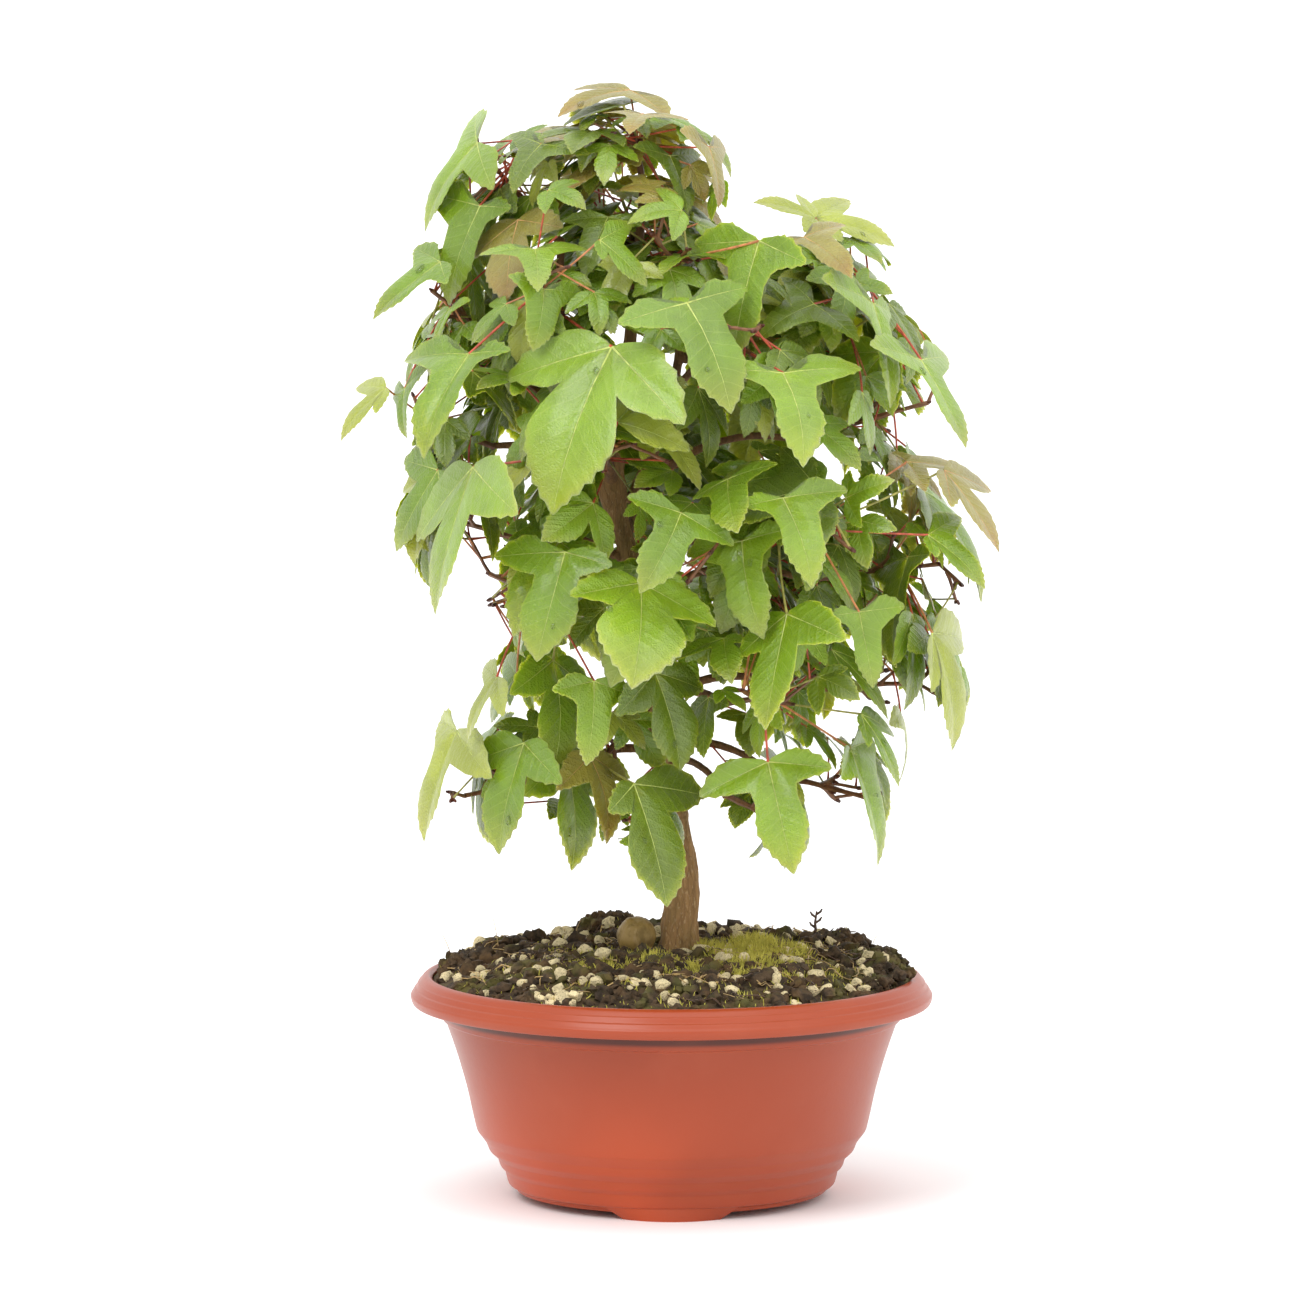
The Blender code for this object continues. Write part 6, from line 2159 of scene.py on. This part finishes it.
def make_twigs(settings, twigs, fine, leaves):
    """The twigs of every mass with their finer ones, swollen at their nodes, and two buds on each tip."""
    ends = [tuple(leaf["root"]) for leaf in leaves]
    rng = random.Random(TWIG_SEED)
    courses, buds = [], []
    deselect()
    bpy.ops.mesh.primitive_uv_sphere_add(segments=6, ring_count=5, radius=MM)
    bud = begin("bud")
    select_vertices(bud, lambda p: p.z > 0.7)
    bpy.ops.transform.translate(value=(0, 0, 0.9 * MM))
    bpy.ops.object.mode_set(mode="OBJECT")
    shape = read_shape(bud)
    for name, own in twigs.items():
        kept = [(len(own), trimmed(twig, np.array(ends))) for twig in fine[name]]
        ends += [tuple(twig[0][0]) for _, twig in kept if twig]
        kept += [(1, trimmed(twig, np.array(ends))) for twig in own[1:]]
        ends += [tuple(twig[0][0]) for _, twig in kept if twig]
        kept.append((0, trimmed(own[0], np.array(ends)) or own[0][:2]))
        for number, twig in kept:
            if not twig:
                continue
            thin = THIN_STEM if number == 0 else THIN_SIDE if number < len(own) else THIN_FINE
            rows = smooth_course(twig, 4)
            if number == 0:
                back = (rows[0][0] - rows[1][0]).normalized()
                rows.insert(0, (rows[0][0] + back * 1.2, rows[0][1]))
            course = []
            for i, (spot, radius) in enumerate(rows):
                swell = 1.22 if i % 3 == 0 else 1.0
                course.append((spot + sway(rng, 0.12), radius * thin * swell))
            courses.append(course)
            tip, way = rows[-1][0], (rows[-1][0] - rows[-2][0]).normalized()
            side, _ = frame_along(way)
            for flip in (-1, 1):
                turn = (way + side * flip * 0.5).to_track_quat("Z", "Y").to_matrix()
                buds.append(put(shape, tip + side * flip * 0.35, rng.uniform(0.45, 0.75), turn))
    piece = sweep("twigs", courses, 6)
    masses = [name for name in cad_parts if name.startswith("mass_")]
    hand_over(piece, "bark", *masses, finishes=[wood_finish("young_wood", tuple(settings.twig))])
    hand_over(joined("buds", buds), "bark", finishes=[wood_finish("bud", BUD_TONE)])


def make_dew(settings, leaves):
    """Drops of water on the blades."""
    rng = random.Random(DEW_SEED)
    deselect()
    bpy.ops.mesh.primitive_uv_sphere_add(segments=14, ring_count=8, radius=MM)
    shape = read_shape(bpy.context.object)
    drops = []
    wet = [leaf for leaf in leaves if leaf["length"] > 24 and leaf["joint"].z > 110]
    for leaf in rng.sample(wet, settings.drops):
        x, y = rng.uniform(-0.3, 0.3), rng.uniform(0.15, 0.75)
        if abs(x) > 0.14 and y > 0.4:
            x *= 0.4
        centre = in_space(leaf, blade_spot(leaf, x, y), BLADE_THICK / 2)
        size = rng.triangular(0.35, 1.3, 0.6)
        turn = leaf["normal"].to_track_quat("Z", "Y").to_matrix()
        turn = turn @ Matrix.Diagonal((1, rng.uniform(1, 1.7), 0.5))
        drops.append(put(shape, centre, size, turn))
    return hand_over(joined("dew", drops), "foliage", finishes=[water_finish()], smooth=math.pi)


def make_stage(settings):
    """A pale floor, soft light from above, from both sides of the front and from behind, and the camera."""
    deselect()
    bpy.ops.mesh.primitive_circle_add(vertices=128, radius=FLOOR_RADIUS_M, fill_type="NGON")
    floor = bpy.context.object
    floor.name = "floor"
    floor.data.materials.append(stage_finish(tuple(settings.floor)))
    floor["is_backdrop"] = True
    world = bpy.data.worlds.new("studio")
    bpy.context.scene.world = world
    world.use_nodes = True
    glow = world.node_tree.nodes["Background"].inputs
    glow["Color"].default_value = (1, 1, 1, 1)
    glow["Strength"].default_value = settings.ambient
    for name, azimuth, lift, strength, soft in LIGHTS:
        light = bpy.data.lights.new(name, "SUN")
        light.energy = strength * settings.light
        light.angle = math.radians(soft)
        lamp = link(name, light)
        turn, rise = math.radians(azimuth), math.radians(lift)
        way = Vector((math.sin(turn) * math.cos(rise), -math.cos(turn) * math.cos(rise), math.sin(rise)))
        lamp.rotation_euler = way.to_track_quat("Z", "Y").to_euler()
        lamp.location = way
    lens = bpy.data.cameras.new("portrait")
    lens.lens = settings.lens
    lens.clip_end = 60
    camera = link("portrait", lens)
    camera.location = (CAMERA_SIDE, -settings.distance, settings.height)
    aim = Vector((CAMERA_SIDE, 0, settings.aim)) - camera.location
    camera.rotation_euler = aim.to_track_quat("-Z", "Y").to_euler()
    bpy.context.scene.camera = camera
    bpy.context.scene.view_settings.view_transform = "Standard"


def tone_field(name, description, default):
    return FloatVectorProperty(name=name, description=description, default=default, min=0, max=1,
                               size=3, subtype="COLOR")


def count_field(name, description, default):
    return IntProperty(name=name, description=description, default=default, min=1)


def metres_field(name, description, default):
    return FloatProperty(name=name, description=description, default=default, unit="LENGTH")


class BowlSettings(bpy.types.PropertyGroup):
    plastic: tone_field("Plastic", "Colour of the bowl", colour(162, 64, 28))
    plastic_roughness: FloatProperty(
        name="Roughness", description="How dull the plastic is", default=0.36, min=0, max=1, subtype="FACTOR")


class SoilSettings(bpy.types.PropertyGroup):
    peat: tone_field("Peat", "Colour of the soil", colour(84, 66, 46))
    grain: tone_field("Pumice", "Colour of the light grains", colour(234, 216, 170))
    moss_colour: tone_field("Moss", "Colour of the moss", colour(210, 200, 92))
    shell: tone_field("Nut shell", "Colour of the nut", colour(156, 128, 72))
    clods: count_field("Clods", "Lumps of peat on the soil", 1300)
    grains: count_field("Grains", "Pumice grains on the soil", 250)
    moss: count_field("Moss shoots", "Shoots in the tufts and between them", 9500)
    straws: count_field("Straws", "Straws and roots on the soil", 420)


class WoodSettings(bpy.types.PropertyGroup):
    bark: tone_field("Old bark", "Colour of the trunk", colour(166, 128, 84))
    young: tone_field("Young bark", "Colour of the boughs", colour(128, 92, 58))
    skin: FloatProperty(
        name="Skin", description="Between two points of the bark, in millimetres", default=0.45, min=0.3)


class LeafSettings(bpy.types.PropertyGroup):
    deep: tone_field("Deep green", "Leaves inside the crown", colour(98, 120, 28))
    mid: tone_field("Mid green", "Most leaves", colour(110, 140, 28))
    fresh: tone_field("Fresh green", "Leaves in full light", colour(126, 156, 36))
    yellow: tone_field("Yellow green", "Thin leaves at the edge", colour(156, 166, 62))
    bronze: tone_field("Bronze", "Young leaves on the shoots", colour(142, 132, 58))
    rib: tone_field("Ribs", "Main veins", colour(184, 196, 104))
    twig: tone_field("Twigs", "Colour of the twigs", colour(124, 82, 54))
    stalk_red: tone_field("Red stalks", "Stalks in the light", colour(190, 84, 58))
    stalk_orange: tone_field("Orange stalks", "Older stalks", colour(198, 128, 80))
    stalk_green: tone_field("Green stalks", "Stalks in the shade", colour(160, 154, 76))
    gloss: FloatProperty(name="Roughness", description="How dull a blade is", default=0.24, min=0, max=1)
    drops: count_field("Drops", "Drops of water on the blades", 70)


class StageSettings(bpy.types.PropertyGroup):
    floor: tone_field("Floor", "Colour of the floor", (0.96, 0.96, 0.96))
    ambient: FloatProperty(name="Ambient", description="Light from all round", default=1.0, min=0)
    light: FloatProperty(name="Lamps", description="Strength of the soft lamps", default=1.0, min=0)
    lens: FloatProperty(name="Lens", description="Focal length", default=CAMERA_LENS, min=20, unit="CAMERA")
    distance: metres_field("Distance", "From the bowl's axis to the camera", CAMERA_DISTANCE)
    height: metres_field("Height", "Of the camera over the floor", CAMERA_HEIGHT)
    aim: metres_field("Aim", "Height of what is at the picture's middle", CAMERA_AIM)


class MAPLE_OT_stage(bpy.types.Operator):
    """Add the floor, the lights and the camera"""
    bl_idname = "maple.stage"
    bl_label = "Stage"

    def execute(self, context):
        make_stage(context.scene.maple_stage)
        return {"FINISHED"}


class MAPLE_OT_bowl(bpy.types.Operator):
    """Mould the bowl in place of its solid"""
    bl_idname = "maple.bowl"
    bl_label = "Bowl"

    def execute(self, context):
        make_bowl(context.scene.maple_bowl)
        return {"FINISHED"}


class MAPLE_OT_soil(bpy.types.Operator):
    """Lay the soil with its clods, grains, moss and litter, and the nut"""
    bl_idname = "maple.soil"
    bl_label = "Soil"

    def execute(self, context):
        settings = context.scene.maple_soil
        for make in (make_soil, make_clods, make_grains, make_moss, make_litter, make_nut):
            make(settings)
        return {"FINISHED"}


class MAPLE_OT_limbs(bpy.types.Operator):
    """Grow the skin of the trunk, leaders and boughs"""
    bl_idname = "maple.limbs"
    bl_label = "Trunk and boughs"

    def execute(self, context):
        make_limbs(context.scene.maple_wood)
        return {"FINISHED"}


class MAPLE_OT_leaves(bpy.types.Operator):
    """Grow the leaves, their ribs and stalks, the twigs and the drops of water"""
    bl_idname = "maple.leaves"
    bl_label = "Leaves and twigs"

    def execute(self, context):
        make_leaves(context.scene.maple_leaves)
        return {"FINISHED"}


class MAPLE_PT_panel(bpy.types.Panel):
    """The steps, each with its sizes and colours"""
    bl_idname = "MAPLE_PT_panel"
    bl_label = "Potted trident maple"
    bl_space_type = "VIEW_3D"
    bl_region_type = "UI"
    bl_category = "Maple"

    def draw(self, context):
        for operator, group in STEPS:
            box = self.layout.box()
            box.operator(operator)
            settings = getattr(context.scene, group)
            for field in settings.bl_rna.properties:
                if field.identifier in type(settings).__annotations__:
                    box.prop(settings, field.identifier)


GROUPS = {
    "maple_stage": StageSettings, "maple_bowl": BowlSettings, "maple_soil": SoilSettings,
    "maple_wood": WoodSettings, "maple_leaves": LeafSettings,
}
STEPS = (
    ("maple.stage", "maple_stage"), ("maple.bowl", "maple_bowl"), ("maple.soil", "maple_soil"),
    ("maple.limbs", "maple_wood"), ("maple.leaves", "maple_leaves"),
)
CLASSES = (
    *GROUPS.values(), MAPLE_OT_stage, MAPLE_OT_bowl, MAPLE_OT_soil, MAPLE_OT_limbs, MAPLE_OT_leaves,
    MAPLE_PT_panel,
)


def register():
    for kind in CLASSES:
        bpy.utils.register_class(kind)
    for name, group in GROUPS.items():
        setattr(bpy.types.Scene, name, PointerProperty(type=group))


def unregister():
    for name in GROUPS:
        delattr(bpy.types.Scene, name)
    for kind in reversed(CLASSES):
        bpy.utils.unregister_class(kind)


def main():
    register()
    bpy.ops.maple.stage()
    bpy.ops.maple.bowl()
    bpy.ops.maple.soil()
    bpy.ops.maple.limbs()
    bpy.ops.maple.leaves()
    boxes = {"cad": CAD_BOX, "visual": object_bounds()}
    {name: [list(corner) for corner in box] for name, box in boxes.items()}


if __name__ == "__main__":
    main()
